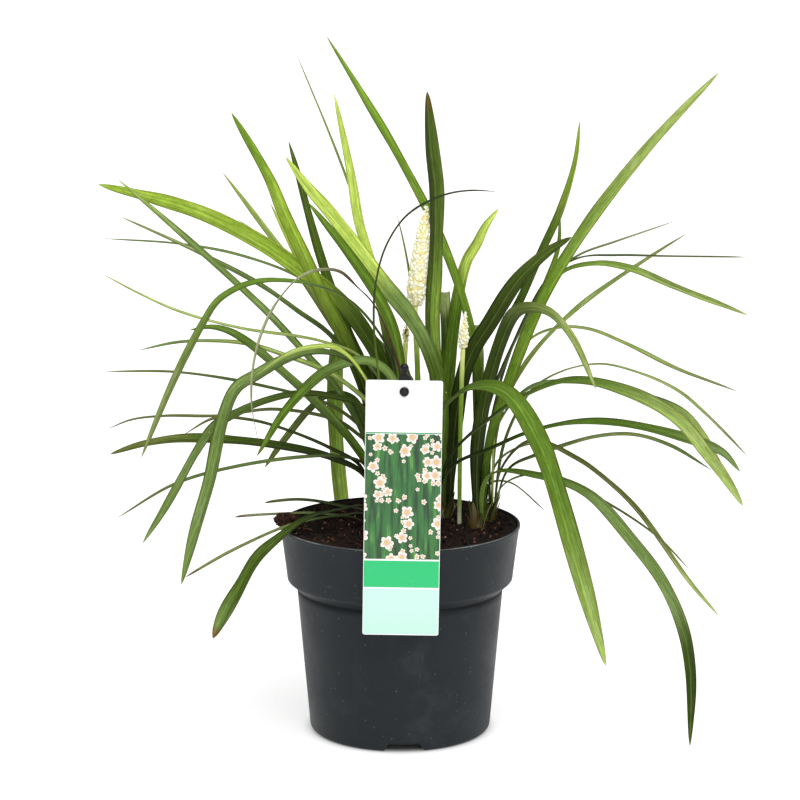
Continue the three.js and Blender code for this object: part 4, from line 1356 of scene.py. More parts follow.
@dataclass
class Tuft:
    """One crown in the soil with its leaves and the brown sheaths at its base."""

    name: str
    at: Pair
    blades: tuple[Blade, ...]
    level: float = 146.0
    root_depth: float = 6.0
    crown_radius: float = 6.0
    crown_neck: float = 4.2
    crown_height: float = 15.0
    crown_depth: float = 12.0
    ring: float = 3.4
    sheaths: int = 13
    piece: str = ""
    slot: str = "leaf"

    def crown(self, seed: int) -> Surface:
        """The short base that the leaves grow from: a tapered lump with uneven ribs."""
        share = np.linspace(0, 1, 18)
        low, high = self.level - self.crown_depth, self.level + self.crown_height - 1
        radius = blend(self.crown_radius, self.crown_neck, share)
        radius[-1] *= 0.6
        body = lathe(np.stack([radius, blend(low, high, share)], axis=1), 40)
        angle = np.arctan2(body.points[:, 1], body.points[:, 0])
        ribs = 0.25 * np.sin(angle * 9 + seed) + 0.2 * waves(body.points, 5.0, seed)
        body.points[:, :2] *= (1 + 0.1 * ribs)[:, None]
        up = smooth_step(low, high, body.points[:, 2])[:, None]
        # Painted shade: dark brown at the crown's foot, going up to the leaves' painted shade tone.
        body.tint = blend(Leaf.BROWN.tint * 0.5, Leaf.SHADE.tint, up)
        body.points += np.array([*self.at, 0.0])
        return body

    def sheath(self, draw: Draw) -> Surface:
        """One dry scale that clasps the crown: a short pointed strip, curved round it.

        Its middle line rises from the crown's ring and leans out as the square of its
        share; its section is an arc about the crown.

        Args:
            draw: The seeded generator.

        Returns:
            The closed surface.
        """
        angle = draw.uniform(0, 2 * np.pi)
        way = np.array([math.cos(angle), math.sin(angle), 0.0])
        tall, lean = draw.uniform(6, 27), draw.uniform(0.05, 0.4)
        share = np.linspace(0, 1, 16)[:, None]
        start = np.array([*self.at, self.level - 3]) + way * draw.uniform(3.6, 5.4)
        rise = share * tall
        line = start + rise * np.array([0, 0, 1.0]) + way * (lean * rise * (0.4 + 0.6 * share))
        half = draw.uniform(0.9, 2.8) * (1 - share**2.2) ** 0.8 + 0.12
        columns, under = strip(7)
        out = half * columns
        lift = -0.3 * half * columns**2 + under * 0.2
        side = np.array([-way[1], way[0], 0.0])
        points = line[:, None] + out[..., None] * side + lift[..., None] * way
        bases = (Leaf.CREAM, Leaf.RUST, Leaf.RUST, Leaf.STRAW, Leaf.OLIVE)
        base = bases[draw.integers(0, 5)].tint
        tip = (Leaf.RUST, Leaf.BROWN, Leaf.STRAW)[draw.integers(0, 3)].tint
        tint = blend(base, tip, share) * SHEATH_SHARE
        uv = np.stack([out, np.broadcast_to(rise, out.shape)], axis=-1)
        return grid_surface(points, uv, np.broadcast_to(tint[:, None], points.shape))

    def build(self, material: Material, seed: int) -> Piece:
        """Joins the crown, the sheaths and the leaves.

        Args:
            material: The leaf material.
            seed: Seed of the tuft's own unevenness.

        Returns:
            The piece.
        """
        draw = np.random.default_rng(seed)
        parts = [self.crown(seed)] + [self.sheath(draw) for _ in range(self.sheaths)]
        parts += [leaf.surface(self, seed + 10 * i) for i, leaf in enumerate(self.blades)]
        piece = self.piece or f"{self.name}_leaves"
        return make_piece(piece, joined(parts), material, self.name)


S, D, K, M, F, B, L, P, V, U, O, A, *_ = Leaf

# Each blade's tones carry painted light and shade: darker where it lies shaded in the tuft, lighter
# where it is lit.
TUFTS: tuple[Tuft, ...] = (
    Tuft("tuft_left_front", (-8, -30), (
        blade(10.5, 0.6, (-50, 26, 80), (D, U, U), (-20, 10, -38), (-40, 29, -41), (-62, 33, -43),
            (-80, 28, -46), (-100, 17, -50), (-114, 8, -55), (-123, -12, -60), (-133, -56, -70),
            (-143, -90, -74), (-153, -129, -76), changes=(0.36, 0.52, 0.6, 0.9)),
        blade(5, 0.5, (20, 20, 50), (M, L, P), (-10, -28, -34), (-24, 14, -44), (-45, 36, -52),
            (-74, 34, -58), (-101, 17, -62)),
        blade(9, 0.5, (40, 50, 60), (D, M, M), (1, -14, -27), (-1, 28, -25), (-8, 57, -25),
            (-20, 79, -25), (-38, 105, -26), (-64, 138, -26)),
        blade(5, 0.5, (0, 6, 14), (M, D, S), (-12, -10, -38), (-18, 55, -43), (-16, 86, -45),
            (-8, 111, -46), (6, 130, -47), (30, 143, -48), (48, 146.5, -48), (67, 146, -48),
            changes=(0.42, 0.56, 0.6, 0.85)),
    )),
    Tuft("tuft_left_low", (-18, -8), (
        blade(10.5, 0.75, (-5, 14, 70), (S, K, U), (-25, -75, -14), (-42, -77, -21),
            (-65, -83, -34), (-86, -98, -46), (-100, -111, -54), (-113, -133, -64),
            (-125, -154, -74), (-131, -167, -80), tip=Tip.DRY, swell=(0.26, 0.85),
            changes=(0.3, 0.6, 0.75, 0.98)),
        blade(4, 0.8, (10, 10, 10), (D, V, V), (-31, -83, -14), (-70, -86, -22), (-112, -103, -36),
            (-150, -124, -50), tip=Tip.CUT),
        blade(5.5, 0.5, (10, 10, 10), (S, U, O), (-25, -46, -14), (-42, -40, -18), (-63, -40, -22),
            (-112, -46.5, -30), (-157, -59, -38), (-197, -82, -44)),
        blade(7.5, 0.65, (10, 25, 60), (M, K, U), (-24, -8, -12), (-48, 2, -14), (-71, 4, -18),
            (-94, -1, -27), (-113, -9, -38), (-130, -19, -48), (-142, -36, -54), (-156, -61, -61),
            (-167, -80, -65), (-180, -100, -68), changes=(0.1, 0.3, 0.4, 0.9)),
        blade(4, 0.5, (20, 20, 20), (S, D, O), (-27, -48, -4), (-49, -34, 0), (-83, -20, 2),
            (-106, -14, 4), (-130, -13, 4), (-151, -24, 4)),
        blade(7.5, 0.5, (40, 45, 50), (M, U, M), (-21, -52, -8), (-35, -28, -4), (-60, -1, -1),
            (-83, 20, 0), (-105, 39, 2), (-120, 48, 2), (-133, 51, 2), (-147, 49, 0)),
    )),
    Tuft("tuft_left", (-16, 20), (
        blade(4.5, 0.85, (5, 5, 5), (S, V, A), (-25, -80, 15), (-42, -81, 12), (-62, -79.5, 10),
            (-85, -80, 10), (-116, -82, 10), tip=Tip.CUT),
        blade(4.5, 0.85, (10, 10, 10), (S, D, O), (-25, -78, 22), (-42, -74.5, 26),
            (-56, -71.5, 29), (-72, -70, 31), (-95, -72, 32), tip=Tip.CUT),
        blade(9.5, 0.65, (10, 25, 30), (S, K, O), (-25, -54, 12), (-47, -41.5, 14), (-83, -33, 17),
            (-121, -28.5, 20), (-152, -27.5, 20), (-178, -31, 18), (-203, -38, 16)),
        blade(6, 0.5, (30, 40, 50), (U, U, P), (-24, -31, 24), (-43, 6, 26), (-68, 34, 28),
            (-91, 59, 30), (-112, 79, 33), (-154, 117, 38), (-197, 154, 44),
            changes=(0.2, 0.6, 0.8, 1.1)),
        blade(10.5, 0.5, (50, 60, 60), (D, B, F), (-20, -14, 22), (-34, 31, 22), (-53, 70, 26),
            (-68, 101, 28), (-82, 131, 29), (-92, 155, 30), (-118, 201, 30),
            changes=(0.28, 0.75, 0.78, 0.92)),
        blade(7.5, 0.6, (20, 40, 60), (K, D, O), (-24, -22, 32), (-34, 0, 46), (-50, 3, 58),
            (-63, -7, 66), (-75, -21, 72), (-86, -35, 76), (-94.5, -47, 78)),
    )),
    Tuft("tuft_left_back", (-2, 46), (
        blade(6, 0.5, (20, 20, 20), (D, U, V), (-22, 4, 58), (-48, 44, 66), (-72, 62, 70),
            (-96, 79, 74), (-135, 100, 78), (-195, 128, 86)),
        blade(8, 0.5, (50, 50, 50), (D, K, K), (-14, -14, 48), (-29, 29, 50), (-46, 70, 57),
            (-56, 100, 60), (-64, 128, 62), (-73, 163, 61), (-78, 181, 60)),
        blade(12, 0.7, (0, 0, 0), (S, F, B), (-20, 0, 68), (-34, 37, 99), (-40, 46, 116),
            (-44, 30, 129), (-45, -10, 138), (-43, -45, 143), (-40, -75, 146), (-36, -118, 147)),
        blade(8, 0.5, (0, 0, 0), (D, V, P), (-6, -40, 66), (-10, 0, 96), (-14, -5, 124),
            (-16, -60, 144)),
    )),
    Tuft("tuft_front", (20, -28), (
        blade(9, 0.5, (20, 35, 60), (K, U, M), (10, -22, -34), (0, 2, -35), (-10, 20, -33),
            (-24, 27, -29), (-49, 21, -26), (-77, -4, -30), (-100, -39, -36),
            changes=(0.3, 0.5, 0.6, 0.85)),
        blade(12, 0.5, (50, 55, 60), (K, U, L), (28, 0, -22), (21, 31, -16), (8, 56, -12),
            (-10, 79, -10), (-31, 107, -8), (-51, 133, -6), (-64, 148, -5), (-80, 170, -4),
            changes=(0.4, 0.52, 0.59, 0.71)),
        blade(15, 0.52, (0, 30, 75), (D, M, P), (19, -49, -34), (25, -16, -42), (42, 4, -52),
            (60, 9, -59), (73, 5, -64), (83, -5, -68), (97, -30, -76), (103, -45, -82),
            (123, -111, -110), (144, -186, -140), changes=(0.16, 0.5, 0.62, 1.1)),
        blade(12, 0.6, (0, 10, 70), (S, M, P), (35, -41, -34), (63, -14, -38), (91, 4, -40),
            (121, 13, -43), (162, 4, -52), (194, -14, -68), (214, -37, -80), (227, -54, -90),
            (240, -74, -104), changes=(0.2, 0.5, 0.5, 0.84)),
        blade(8.5, 0.7, (0, 10, 60), (S, M, U), (35, -49, -32), (63, -35, -34), (91, -23, -35),
            (121, -16.5, -37), (152, -16.5, -39), (193, -25, -46), (224, -36, -62),
            (238, -50, -80)),
    )),
    Tuft("tuft_middle", (8, -4), (
        blade(8.5, 0.5, (40, 0, 55), (S, M, V), (0, 0, -8), (-10, 38, -12), (-35, 69, -18),
            (-60, 80, -21), (-83, 83, -24), (-98, 82.5, -28), (-112, 78.5, -33), (-127, 69, -38),
            (-137, 54, -43), (-156, 18, -52), (-181, -40, -60), tip=Tip.GREEN,
            changes=(0.28, 0.5, 0.62, 0.95)),
        blade(5, 0.5, (0, 10, 10), (S, P, P), (4, -35, -4), (-7, 0, -3), (-27, 29, -3),
            (-56, 41, -4), (-112, 50, -6), (-154, 61.5, -5), (-182, 74, -3), (-208, 88, 0),
            changes=(0.28, 0.44, 0.62, 0.95)),
        blade(6, 0.5, (20, 20, 20), (K, P, U), (-10, -20, 0), (-42, 14, 8), (-84, 32, 16),
            (-108, 39, 19), (-135, 41, 21), (-157, 40, 22), (-182, 35, 22),
            changes=(0.15, 0.32, 0.7, 0.92)),
        blade(5.5, 0.5, (10, 10, 10), (K, O, O), (-3, -42, 0), (-20, -32, 3), (-42, -16, 9),
            (-62, -10, 12), (-91, -7, 16), (-127, -11.5, 22), (-165, -11.5, 28), (-188, -14, 32),
            (-204, -20, 34)),
    )),
    Tuft("tuft_middle_back", (12, 28), (
        blade(12, 0.5, (40, 60, 70), (K, B, B), (0, -21, 32), (-10, 17, 36), (-22, 42, 40),
            (-42, 69, 44), (-70, 91, 50), (-98, 110, 62), (-140, 131, 88), (-211, 151, 150),
            changes=(0.36, 0.56, 0.6, 0.9)),
        blade(5, 0.5, (10, 10, 10), (O, K, O), (-10, -42, 32), (-26, -21, 38), (-49, -4, 42),
            (-99, 10, 50), (-154, 19, 58), (-206, 20, 66)),
        blade(8, 0.5, (50, 60, 60), (D, L, L), (1, -21, 28), (-8, 39, 30), (-22, 100, 34),
            (-29, 124, 35), (-35, 159, 36), (-46, 214, 34), changes=(0.38, 0.62, 0.62, 0.95)),
        blade(5, 0.5, (0, 0, 0), (M, U, V), (11, -21, 24), (10, 49, 22), (6, 89, 21), (2, 112, 20),
            (-2, 129, 20)),
    )),
    Tuft("tuft_back", (34, 50), (
        blade(5, 0.5, (0, 5, 10), (D, U, U), (0, 14, 62), (-24, 50, 74), (-70, 85, 88),
            (-112, 101, 98), (-154, 109, 112), (-207, 113, 132)),
        blade(6, 0.5, (30, 40, 40), (S, D, P), (0, 0, 62), (-35, 35, 77), (-70, 87, 94),
            (-91, 115, 100), (-124, 159, 104), changes=(0.2, 0.45, 0.5, 0.68)),
        blade(4, 0.5, (20, 20, 20), (S, M, P), (10, 10, 72), (-40, 64, 92), (-80, 103, 106),
            (-103, 119, 111), (-114, 126.5, 113)),
        blade(6, 0.5, (30, 40, 40), (S, K, L), (-10, 0, 64), (-38, 42, 68), (-66, 88, 70),
            (-80, 115, 68), (-91, 138, 66), changes=(0.2, 0.6, 0.62, 0.8)),
        blade(5, 0.5, (0, 0, 0), (D, M, P), (18, -21, 56), (-4, 49, 60), (-34, 144, 66),
            (-48, 182, 68), (-72, 241, 70)),
        blade(9, 0.6, (60, 85, 85), (D, M, L), (32, -21, 54), (36, 39, 58), (41, 75, 61),
            (47, 98, 63), (54, 110, 64), (60, 122, 65), (69, 134, 66),
            changes=(0.1, 0.4, 0.64, 0.86)),
        blade(8, 0.5, (0, 0, 0), (F, D, V), (33, 0, 66), (32, 57, 90), (31, 75, 118), (32, 50, 142),
            (33, -10, 147), changes=(0.38, 0.44, 0.5, 0.56)),
        blade(8, 0.5, (0, 0, 0), (D, V, P), (28, -40, 70), (24, 2, 100), (18, -8, 130),
            (14, -60, 147)),
    )),
    Tuft("tuft_right", (31, 20), (
        blade(11.5, 0.75, (0, 0, 0), (K, F, K), (28, -28, 14), (22, 56, 3), (24, 94, 0),
            (25, 126, -2), (25, 148, -2), (22, 176, -2), (20, 200, -2), (19, 216, -2), tip=Tip.DRY,
            split=-0.34, changes=(0.15, 0.4, 0.5, 0.7)),
        blade(11.5, 0.65, (-60, -85, -70), (S, D, K), (39, -14, 16), (48, 28, 14), (64, 55, 13),
            (83, 84, 12), (103, 103, 11), (120, 114, 10)),
    )),
    Tuft("tuft_right_front", (54, -10), (
        blade(9, 0.5, (40, 55, 60), (M, F, P), (62, -35, -8), (75, 8, -5), (99, 68, 0),
            (113, 94, 3), (139, 133, 6), (169, 171, 8), (196, 201, 10), (223, 229, 12),
            changes=(0.1, 0.4, 0.45, 0.9)),
        blade(10.5, 0.5, (-70, -62, -50), (S, D, P), (55, -28, -16), (70, 38, -24), (83, 62, -32),
            (102, 62, -42), (119, 45, -50), (137, 8, -54), changes=(0.2, 0.4, 0.6, 0.88)),
        blade(7, 0.5, (5, 15, 40), (U, U, P), (68, -20, 2), (91, 8, -1), (123, 12, -8),
            (161, 5, -16), (197, -8, -28), (212, -24, -40), (222, -42, -48), (234, -63, -56)),
        blade(9.5, 0.55, (0, 30, 60), (M, U, D), (63, -53, -14), (98, -54, -28), (131, -66, -46),
            (162, -99, -70), (183, -127, -88), (197, -158, -106), (203, -190, -126),
            (203, -242, -150), changes=(0.15, 0.5, 0.66, 0.82)),
    )),
    Tuft("tuft_right_back", (56, 34), (
        blade(7, 0.5, (40, 50, 50), (D, K, B), (57, -21, 34), (68, 36, 36), (87, 75, 36),
            (100, 105, 36), (113, 134, 36), (123, 168, 35), (126, 195, 34),
            changes=(0.2, 0.6, 0.66, 0.98)),
        blade(5, 0.5, (20, 30, 30), (M, F, F), (67, -14, 46), (84, 39, 62), (103, 84, 76),
            (111, 107, 79), (112, 133, 80)),
        blade(5, 0.5, (0, 0, 0), (D, K, A), (63, -21, 40), (81, 42, 50), (106, 86, 58),
            (125, 101, 60), (152, 111, 64), (192, 125, 68)),
        blade(5, 0.6, (0, 0, 0), (D, K, O), (60, -14, 40), (85, 50, 38), (107, 88, 34),
            (126, 99.5, 28), (150, 101, 14), (186, 100.5, -22), (243, 100, -88)),
        blade(8, 0.5, (40, 50, 50), (S, F, F), (55, -21, 36), (49, 49, 38), (30, 108, 36),
            (-1, 170, 34), (-51, 254, 34), changes=(0.18, 0.42, 0.62, 0.95)),
        blade(8, 0.5, (0, 0, 0), (D, K, V), (55, -14, 52), (54, 39, 84), (53, 52, 110),
            (55, 35, 136), (57, -21, 146), changes=(0.2, 0.4, 0.43, 0.52)),
        blade(4, 0.5, (0, 0, 0), (K, O, K), (63, -59, 40), (77, -58, 44), (101, -77, 52)),
        blade(4, 0.5, (0, 0, 0), (O, U, M), (69, -43, 38), (91, -31, 42), (104, -32, 44)),
    )),
    Tuft("tuft_right_low", (62, 12), (
        blade(7, 0.6, (10, 25, 45), (M, F, P), (66, -14, 18), (90, 50, 20), (113, 88, 16),
            (136, 95, 6), (160, 92, -8), (192, 79, -36), (243, 59.5, -104),
            changes=(0.1, 0.4, 0.5, 0.9)),
        blade(5, 0.5, (20, 30, 30), (P, P, V), (70, -14, 20), (88, 25, 24), (123, 63, 26),
            (175, 100, 20), (200, 116, 16)),
        blade(5.5, 0.5, (10, 10, 20), (B, P, V), (70, 0, 10), (90, 41, 12), (110, 50, 10),
            (131, 49.5, 6), (156, 40, -2), (193, 22, -20), (236, 6, -60)),
        blade(4.5, 0.5, (0, 0, 0), (K, P, V), (74, -28, 12), (93, 7, 16), (115, 20.5, 12),
            (140, 25, 4), (165, 19.5, -12), (194, 6.5, -40), (214, -10, -66), (243, -39, -116)),
        blade(5, 0.5, (10, 20, 24), (K, V, K), (76, -49, 18), (95, -39, 22), (112, -33, 22),
            (137, -26, 18), (163, -24.5, 14), (189, -32, 8), (218, -49, 0)),
        blade(6, 0.5, (10, 20, 40), (O, O, P), (72, -47, 14), (92, -29, 10), (123, -41, 4),
            (144, -56, 0), (165, -76, -4), (203, -128, -10), (223, -151, -12)),
        blade(5, 0.5, (0, 0, 0), (M, K, O), (72, -60, 8), (102, -52, 2), (139, -69, -8),
            (179, -95, -14), (202, -118, -18)),
    )),
)

WITHERED = Tuft("withered_blade", (6, -46), (
    blade(2.2, 0.6, (0, 40, 60), (D, Leaf.BROWN, A), (4, 0, -46), (-10, 50, -53), (-20, 69, -55),
        (-31, 80, -56), (-42, 90, -57), (-55, 91.5, -57), (-70, 86, -58), (-85, 70, -61),
        (-95, 52, -64), (-102, 28, -67), (-104, 0, -69), (-99, -31, -70), tip=Tip.DRY,
        curl=62.0, split=0.2, swell=(0.7, 0.2), changes=(0.1, 0.3, 0.55, 0.66)),
), crown_radius=2.6, crown_neck=1.8, crown_height=6.0, ring=0.4, sheaths=0,
    piece="withered_leaf", slot="dry_leaf")
"""The one thin dead leaf, twisted and pale, with a small base of its own."""


# ---- flower spikes


@dataclass
class FlowerSpike:
    """A flower stem with its head of small round buds.

    Attributes:
        name: What the nodes of its stem and head are called after.
        at: Where it stands in the soil.
        scape: Stations of the stem on the easel.
        scape_radius: Radius of the stem.
        top: The head's tip on the easel.
        profile: Share of the head's height and its radius there.
        bud_radius: Radius of the largest buds.
        whorls: Number of rings of buds.
        pitch: Distance between two buds in a ring.
        seed: Seed of the small differences between buds.
        brown: Weight of the browned buds among the others.
        shade: What its tints are multiplied by, for a head that is still green.
        foot: Height of the stem's foot in the soil.
        upright: Height up to which the stem stands straight up.
    """

    name: str
    at: Pair
    scape: tuple[Triple, ...]
    scape_radius: float
    top: Triple
    profile: tuple[Pair, ...]
    bud_radius: float
    whorls: int
    pitch: float
    seed: int
    brown: float = 0.01
    shade: Triple = (1.0, 1.0, 1.0)
    foot: float = 131.5
    upright: float = 154.0

    def stem(self) -> Surface:
        """The stem as a bar that thins a little towards the head."""
        low, rows = [[*self.at, self.foot], [*self.at, self.upright]], 90
        line = smooth_line(np.vstack([np.array(low), EASEL.carried(self.scape)]), rows)
        share = np.linspace(0, 1, rows)[:, None]
        radius = self.scape_radius * (0.98 + 0.12 * share[:, 0])
        radius = radius * (1 + 0.02 * waves(share * 30, 4.0, self.seed))
        foot, lower, upper = palette((250, 252, 212), (128, 170, 34), (244, 250, 158))
        tint = blend(lower, upper, smooth_step(0.74, 1.0, share))
        tint = blend(foot, tint, smooth_step(0.1, 0.27, share))
        return rod(line, radius, 16, tint * np.array(self.shade))

    def head_axis(self) -> tuple[Array, Array, float]:
        """Where the head starts, its direction and its height."""
        foot = EASEL.carried(self.scape)[-1]
        way = EASEL.carried([self.top])[0] - foot
        height = float(np.linalg.norm(way))
        return foot + way / height * 0.2, way / height, height - 0.2

    def radius_at(self, share: Array) -> Array:
        """The head's radius at shares of its height."""
        return np.interp(share, *np.array(self.profile).T)

    def bud(self) -> Surface:
        """One bud of about unit size: an egg with six faint lobes, pointed along Z."""
        turn, angle = np.linspace(0, np.pi, 10)[1:-1, None], turns_round(12)[None, :]
        radius = np.sin(turn) * (1 - 0.16 * np.cos(turn)) * (1 + 0.05 * np.cos(3 * angle))
        height = -np.cos(turn) * (1.05 + 0.15 * (turn > np.pi / 2)) * np.ones_like(angle)
        return grid_surface(np.stack([radius * np.cos(angle), radius * np.sin(angle), height], -1))

    def head(self) -> Surface:
        """The core with its whorls of buds.

        Whorl w stands at share (w + 0.5) / whorls; its buds are evenly spread round the
        head, half a step further in every second whorl, and lean up more near the tip.

        Returns:
            The joined surface.
        """
        draw = np.random.default_rng(self.seed)
        foot, up, height = self.head_axis()
        right = unit(np.cross(up, np.array([0.0, -1.0, 0.0])))
        ahead = np.cross(right, up)
        levels = (np.arange(self.whorls) + 0.5) / self.whorls
        size = self.bud_radius * np.interp(levels, [0, 0.6, 1], [1, 0.9, 0.55])
        out = np.maximum(self.radius_at(levels) - size, 0.1)
        number = np.maximum(3, (2 * np.pi * np.maximum(out, 0.6) / self.pitch)).astype(int)
        whorl = np.repeat(np.arange(self.whorls), number)
        count = len(whorl)
        step = np.concatenate([np.arange(n) for n in number])
        angle = (step + 0.5 * (whorl % 2)) / number[whorl] * 2 * np.pi
        angle = angle + draw.normal(0, 0.14, count)
        level = levels[whorl] + draw.normal(0, 0.24, count) / self.whorls
        around = np.cos(angle)[:, None] * right + np.sin(angle)[:, None] * ahead
        lean = np.radians(np.interp(level, [0, 0.5, 1], [8, 34, 76]))[:, None]
        way = unit(around * np.cos(lean) + up * np.sin(lean))
        reach = out[whorl] * draw.uniform(0.86, 1.08, count)
        places = foot + up * (np.clip(level, 0.02, 0.97) * height)[:, None]
        places = places + around * reach[:, None]
        scale = (size[whorl] * draw.uniform(0.74, 1.1, count))[:, None]
        flat = np.ones(count)
        scale = scale * np.stack([flat, flat, draw.uniform(0.95, 1.2, count)], axis=1)
        cream = ((255, 255, 236), (255, 252, 220), (252, 246, 200), (242, 230, 172))
        tones = palette(*cream, (128, 82, 50)) * np.array(self.shade)
        odds = np.array([0.54, 0.3, 0.12, 0.04, self.brown])
        tint = tones[draw.choice(5, count, p=odds / odds.sum())]
        turns = turns_to(way, draw)
        share = np.linspace(0, 1, 40)
        core = foot + up * (share * (height - 1.2))[:, None]
        core_radius = np.maximum(self.radius_at(share) - self.bud_radius * 0.95, 0.45)
        # Painted shade: the core is a deeper yellow than the buds, so the gaps between them look
        # shaded warm.
        shade_core_tint = np.broadcast_to(linear(250, 236, 164) * np.array(self.shade), (40, 3))
        buds = copies(self.bud(), places, turns, scale, tint)
        return joined([rod(core, core_radius, 18, shade_core_tint), buds])

    def build(self, stem: Material, bud: Material) -> list[Piece]:
        """Makes the stem and the head.

        Args:
            stem: The stem's material.
            bud: The buds' material.

        Returns:
            The two pieces.
        """
        name = self.name
        return [
            make_piece(f"{name}_stem", self.stem(), stem, f"{name}_scape"),
            make_piece(f"{name}_head", self.head(), bud, f"{name}_buds"),
        ]


SPIKES = (
    FlowerSpike(
        "spike_tall", (14, 10), ((14, -28, 10), (12, 28, 10), (10.5, 66, 9)), scape_radius=1.8,
        top=(18.5, 137, 8), bud_radius=1.5, whorls=35, pitch=2.6, seed=3, brown=0.0,
        profile=((0, 4.6), (0.12, 7.1), (0.36, 7), (0.57, 6.1), (0.76, 4.7), (0.9, 2.8), (1, 1)),
    ),
    FlowerSpike(
        "spike_short", (42, 3), ((42, -40, 3), (43, 7, 2), (44, 36, 1)), scape_radius=1.5,
        top=(46, 62, 0), bud_radius=1.2, whorls=15, pitch=2.1, seed=8,
        profile=((0, 2.5), (0.14, 3.7), (0.35, 3.7), (0.6, 2.8), (0.85, 1.6), (1, 0.7)),
    ),
    FlowerSpike(
        "spike_young", (2, 12), ((2, -28, 11), (3, 14, 10), (4, 41, 9)), scape_radius=1.5,
        top=(4.5, 53, 9), bud_radius=1.0, whorls=7, pitch=1.9, seed=12, brown=0.35,
        profile=((0, 1.8), (0.35, 2.7), (0.7, 2.2), (1, 0.8)), shade=(0.8, 0.82, 0.64),
    ),
)


# ---- hang card and stake


@dataclass(frozen=True)
class Stand:
    """Flat work stood up from a low point towards a high one, with its face to the front."""

    low: Triple
    high: Triple

    @property
    def rise(self) -> Array:
        """The way from its lower point to its upper one."""
        return np.array(self.high) - np.array(self.low)

    @property
    def axes(self) -> Array:
        """Its sideways, upward and forward directions, as rows."""
        up = unit(self.rise)
        face = unit(np.array([0.0, -1.0, 0.0]) + up * up[1])
        return np.stack([np.cross(up, face), up, face])

    def placed(self, flat: Array) -> Array:
        """Points given as across, up and forward, carried to their places."""
        places = np.array(self.low) + flat.reshape(-1, 3) @ self.axes
        return places.reshape(flat.shape)


@dataclass(frozen=True)
class CardPrint:
    """What is printed on the card: bands and a garden picture, without any lettering.

    All sizes are in metres: half the printed width, and how far above the card's lower
    edge each band starts and ends.
    """

    half: float = 0.0254
    mint: Pair = (0.0007, 0.0321)
    emerald: Pair = (0.0332, 0.0517)
    picture: Pair = (0.0528, 0.1388)
    line: Pair = (0.1391, 0.1399)

    @staticmethod
    def blossoms(paint: Paint, base: Socket, scale: float, radius: float, share: float) -> Socket:
        """Round blossoms with five petals, one in some of the cells of a scattered pattern.

        A petal's edge lies at radius (0.6 + 0.4 |cos 2.5 a|), where a is the angle round
        the blossom's middle.

        Args:
            paint: The card's material.
            base: The colour behind the blossoms.
            scale: Cells for each metre.
            radius: Radius of a blossom, in metres.
            share: Share of the cells that have one.

        Returns:
            The colour with the blossoms laid over it.
        """
        fed = {"Vector": paint.uv, "Scale": scale, "Randomness": 0.7}
        cells = paint.made("TexVoronoi", fed, voronoi_dimensions="2D").outputs
        fed = {0: paint.uv, 1: cells["Position"]}
        x, y, _ = paint.parts(paint.made("VectorMath", fed, operation="SUBTRACT").outputs[0])
        chance, spin, growth = paint.parts(cells["Color"], "Color")
        turn = paint.plus(paint.math("ARCTAN2", y, x), paint.times(spin, 6.28))
        lobe = paint.math("ABSOLUTE", paint.math("COSINE", paint.times(turn, 2.5)))
        squares = [paint.math("POWER", part, 2.0) for part in (x, y)]
        away = paint.math("SQRT", paint.plus(*squares))
        size = paint.times(paint.plus(paint.times(growth, 0.4), 0.75), radius)
        edge = paint.times(size, paint.plus(paint.times(lobe, 0.4), 0.6))
        reach = paint.math("DIVIDE", away, edge)
        mask = paint.span(reach, 0.93, 1.0, 1.0, 0.0)
        sprays = paint.noise(cells["Position"], (70.0, 20.0, 1.0), 1.0)
        chosen = paint.math("LESS_THAN", chance, paint.span(sprays, 0.44, 0.52, 0.04, share))
        petal = paint.mix(paint.span(reach, 0.25, 0.95), ink(214, 178, 160), ink(250, 244, 234))
        petal = paint.mix(paint.span(lobe, 0.0, 0.35, 0.5, 0.0), petal, ink(190, 150, 120))
        heart = paint.span(paint.math("DIVIDE", away, size), 0.16, 0.24, 1.0, 0.0)
        petal = paint.mix(heart, petal, ink(226, 190, 86))
        return paint.mix(paint.times(mask, chosen), base, petal)

    def draw(self, paint: Paint) -> Material:
        """Prints the bands and the picture on the card's front and coats it.

        Args:
            paint: The card's material.

        Returns:
            The material.
        """
        x, rise, _ = paint.parts(paint.uv)
        front = paint.parts(paint.tint(), "Color")[0]
        side = paint.math("LESS_THAN", paint.math("ABSOLUTE", x), self.half)
        inside = paint.times(side, front)
        grass = paint.noise(paint.uv, (260.0, 26.0, 1.0), 3.0, 0.6)
        garden = paint.mix(paint.span(grass, 0.36, 0.56), ink(14, 52, 22), ink(44, 112, 44))
        garden = paint.mix(paint.span(grass, 0.56, 0.74), garden, ink(112, 168, 84))
        haze = paint.span(paint.noise(paint.uv, 45.0, 2.0), 0.45, 0.7, 0.0, 0.6)
        garden = paint.mix(haze, garden, ink(30, 88, 44))
        garden = self.blossoms(paint, garden, scale=210.0, radius=0.0019, share=0.62)
        garden = self.blossoms(paint, garden, scale=96.0, radius=0.0044, share=0.95)
        colour, cloud = paint.mottled(60.0, 0.012, paint.finish.colour)
        bands = (
            (self.mint, ink(194, 238, 220)),
            (self.emerald, ink(14, 190, 112)),
            (self.picture, garden),
            (self.line, ink(24, 150, 84)),
        )
        for (low, high), tone in bands:
            above = paint.math("GREATER_THAN", rise, low)
            mask = paint.times(above, paint.math("LESS_THAN", rise, high))
            colour = paint.mix(paint.times(mask, inside), colour, tone)
        paint.feed(paint.shader["Coat Weight"], 0.25)
        paint.feed(paint.shader["Coat Roughness"], 0.12)
        grain = paint.noise(paint.where, 1.0 / paint.finish.grain, 2.0)
        return paint.dressed(colour, paint.rough(cloud), grain, 0.0002)


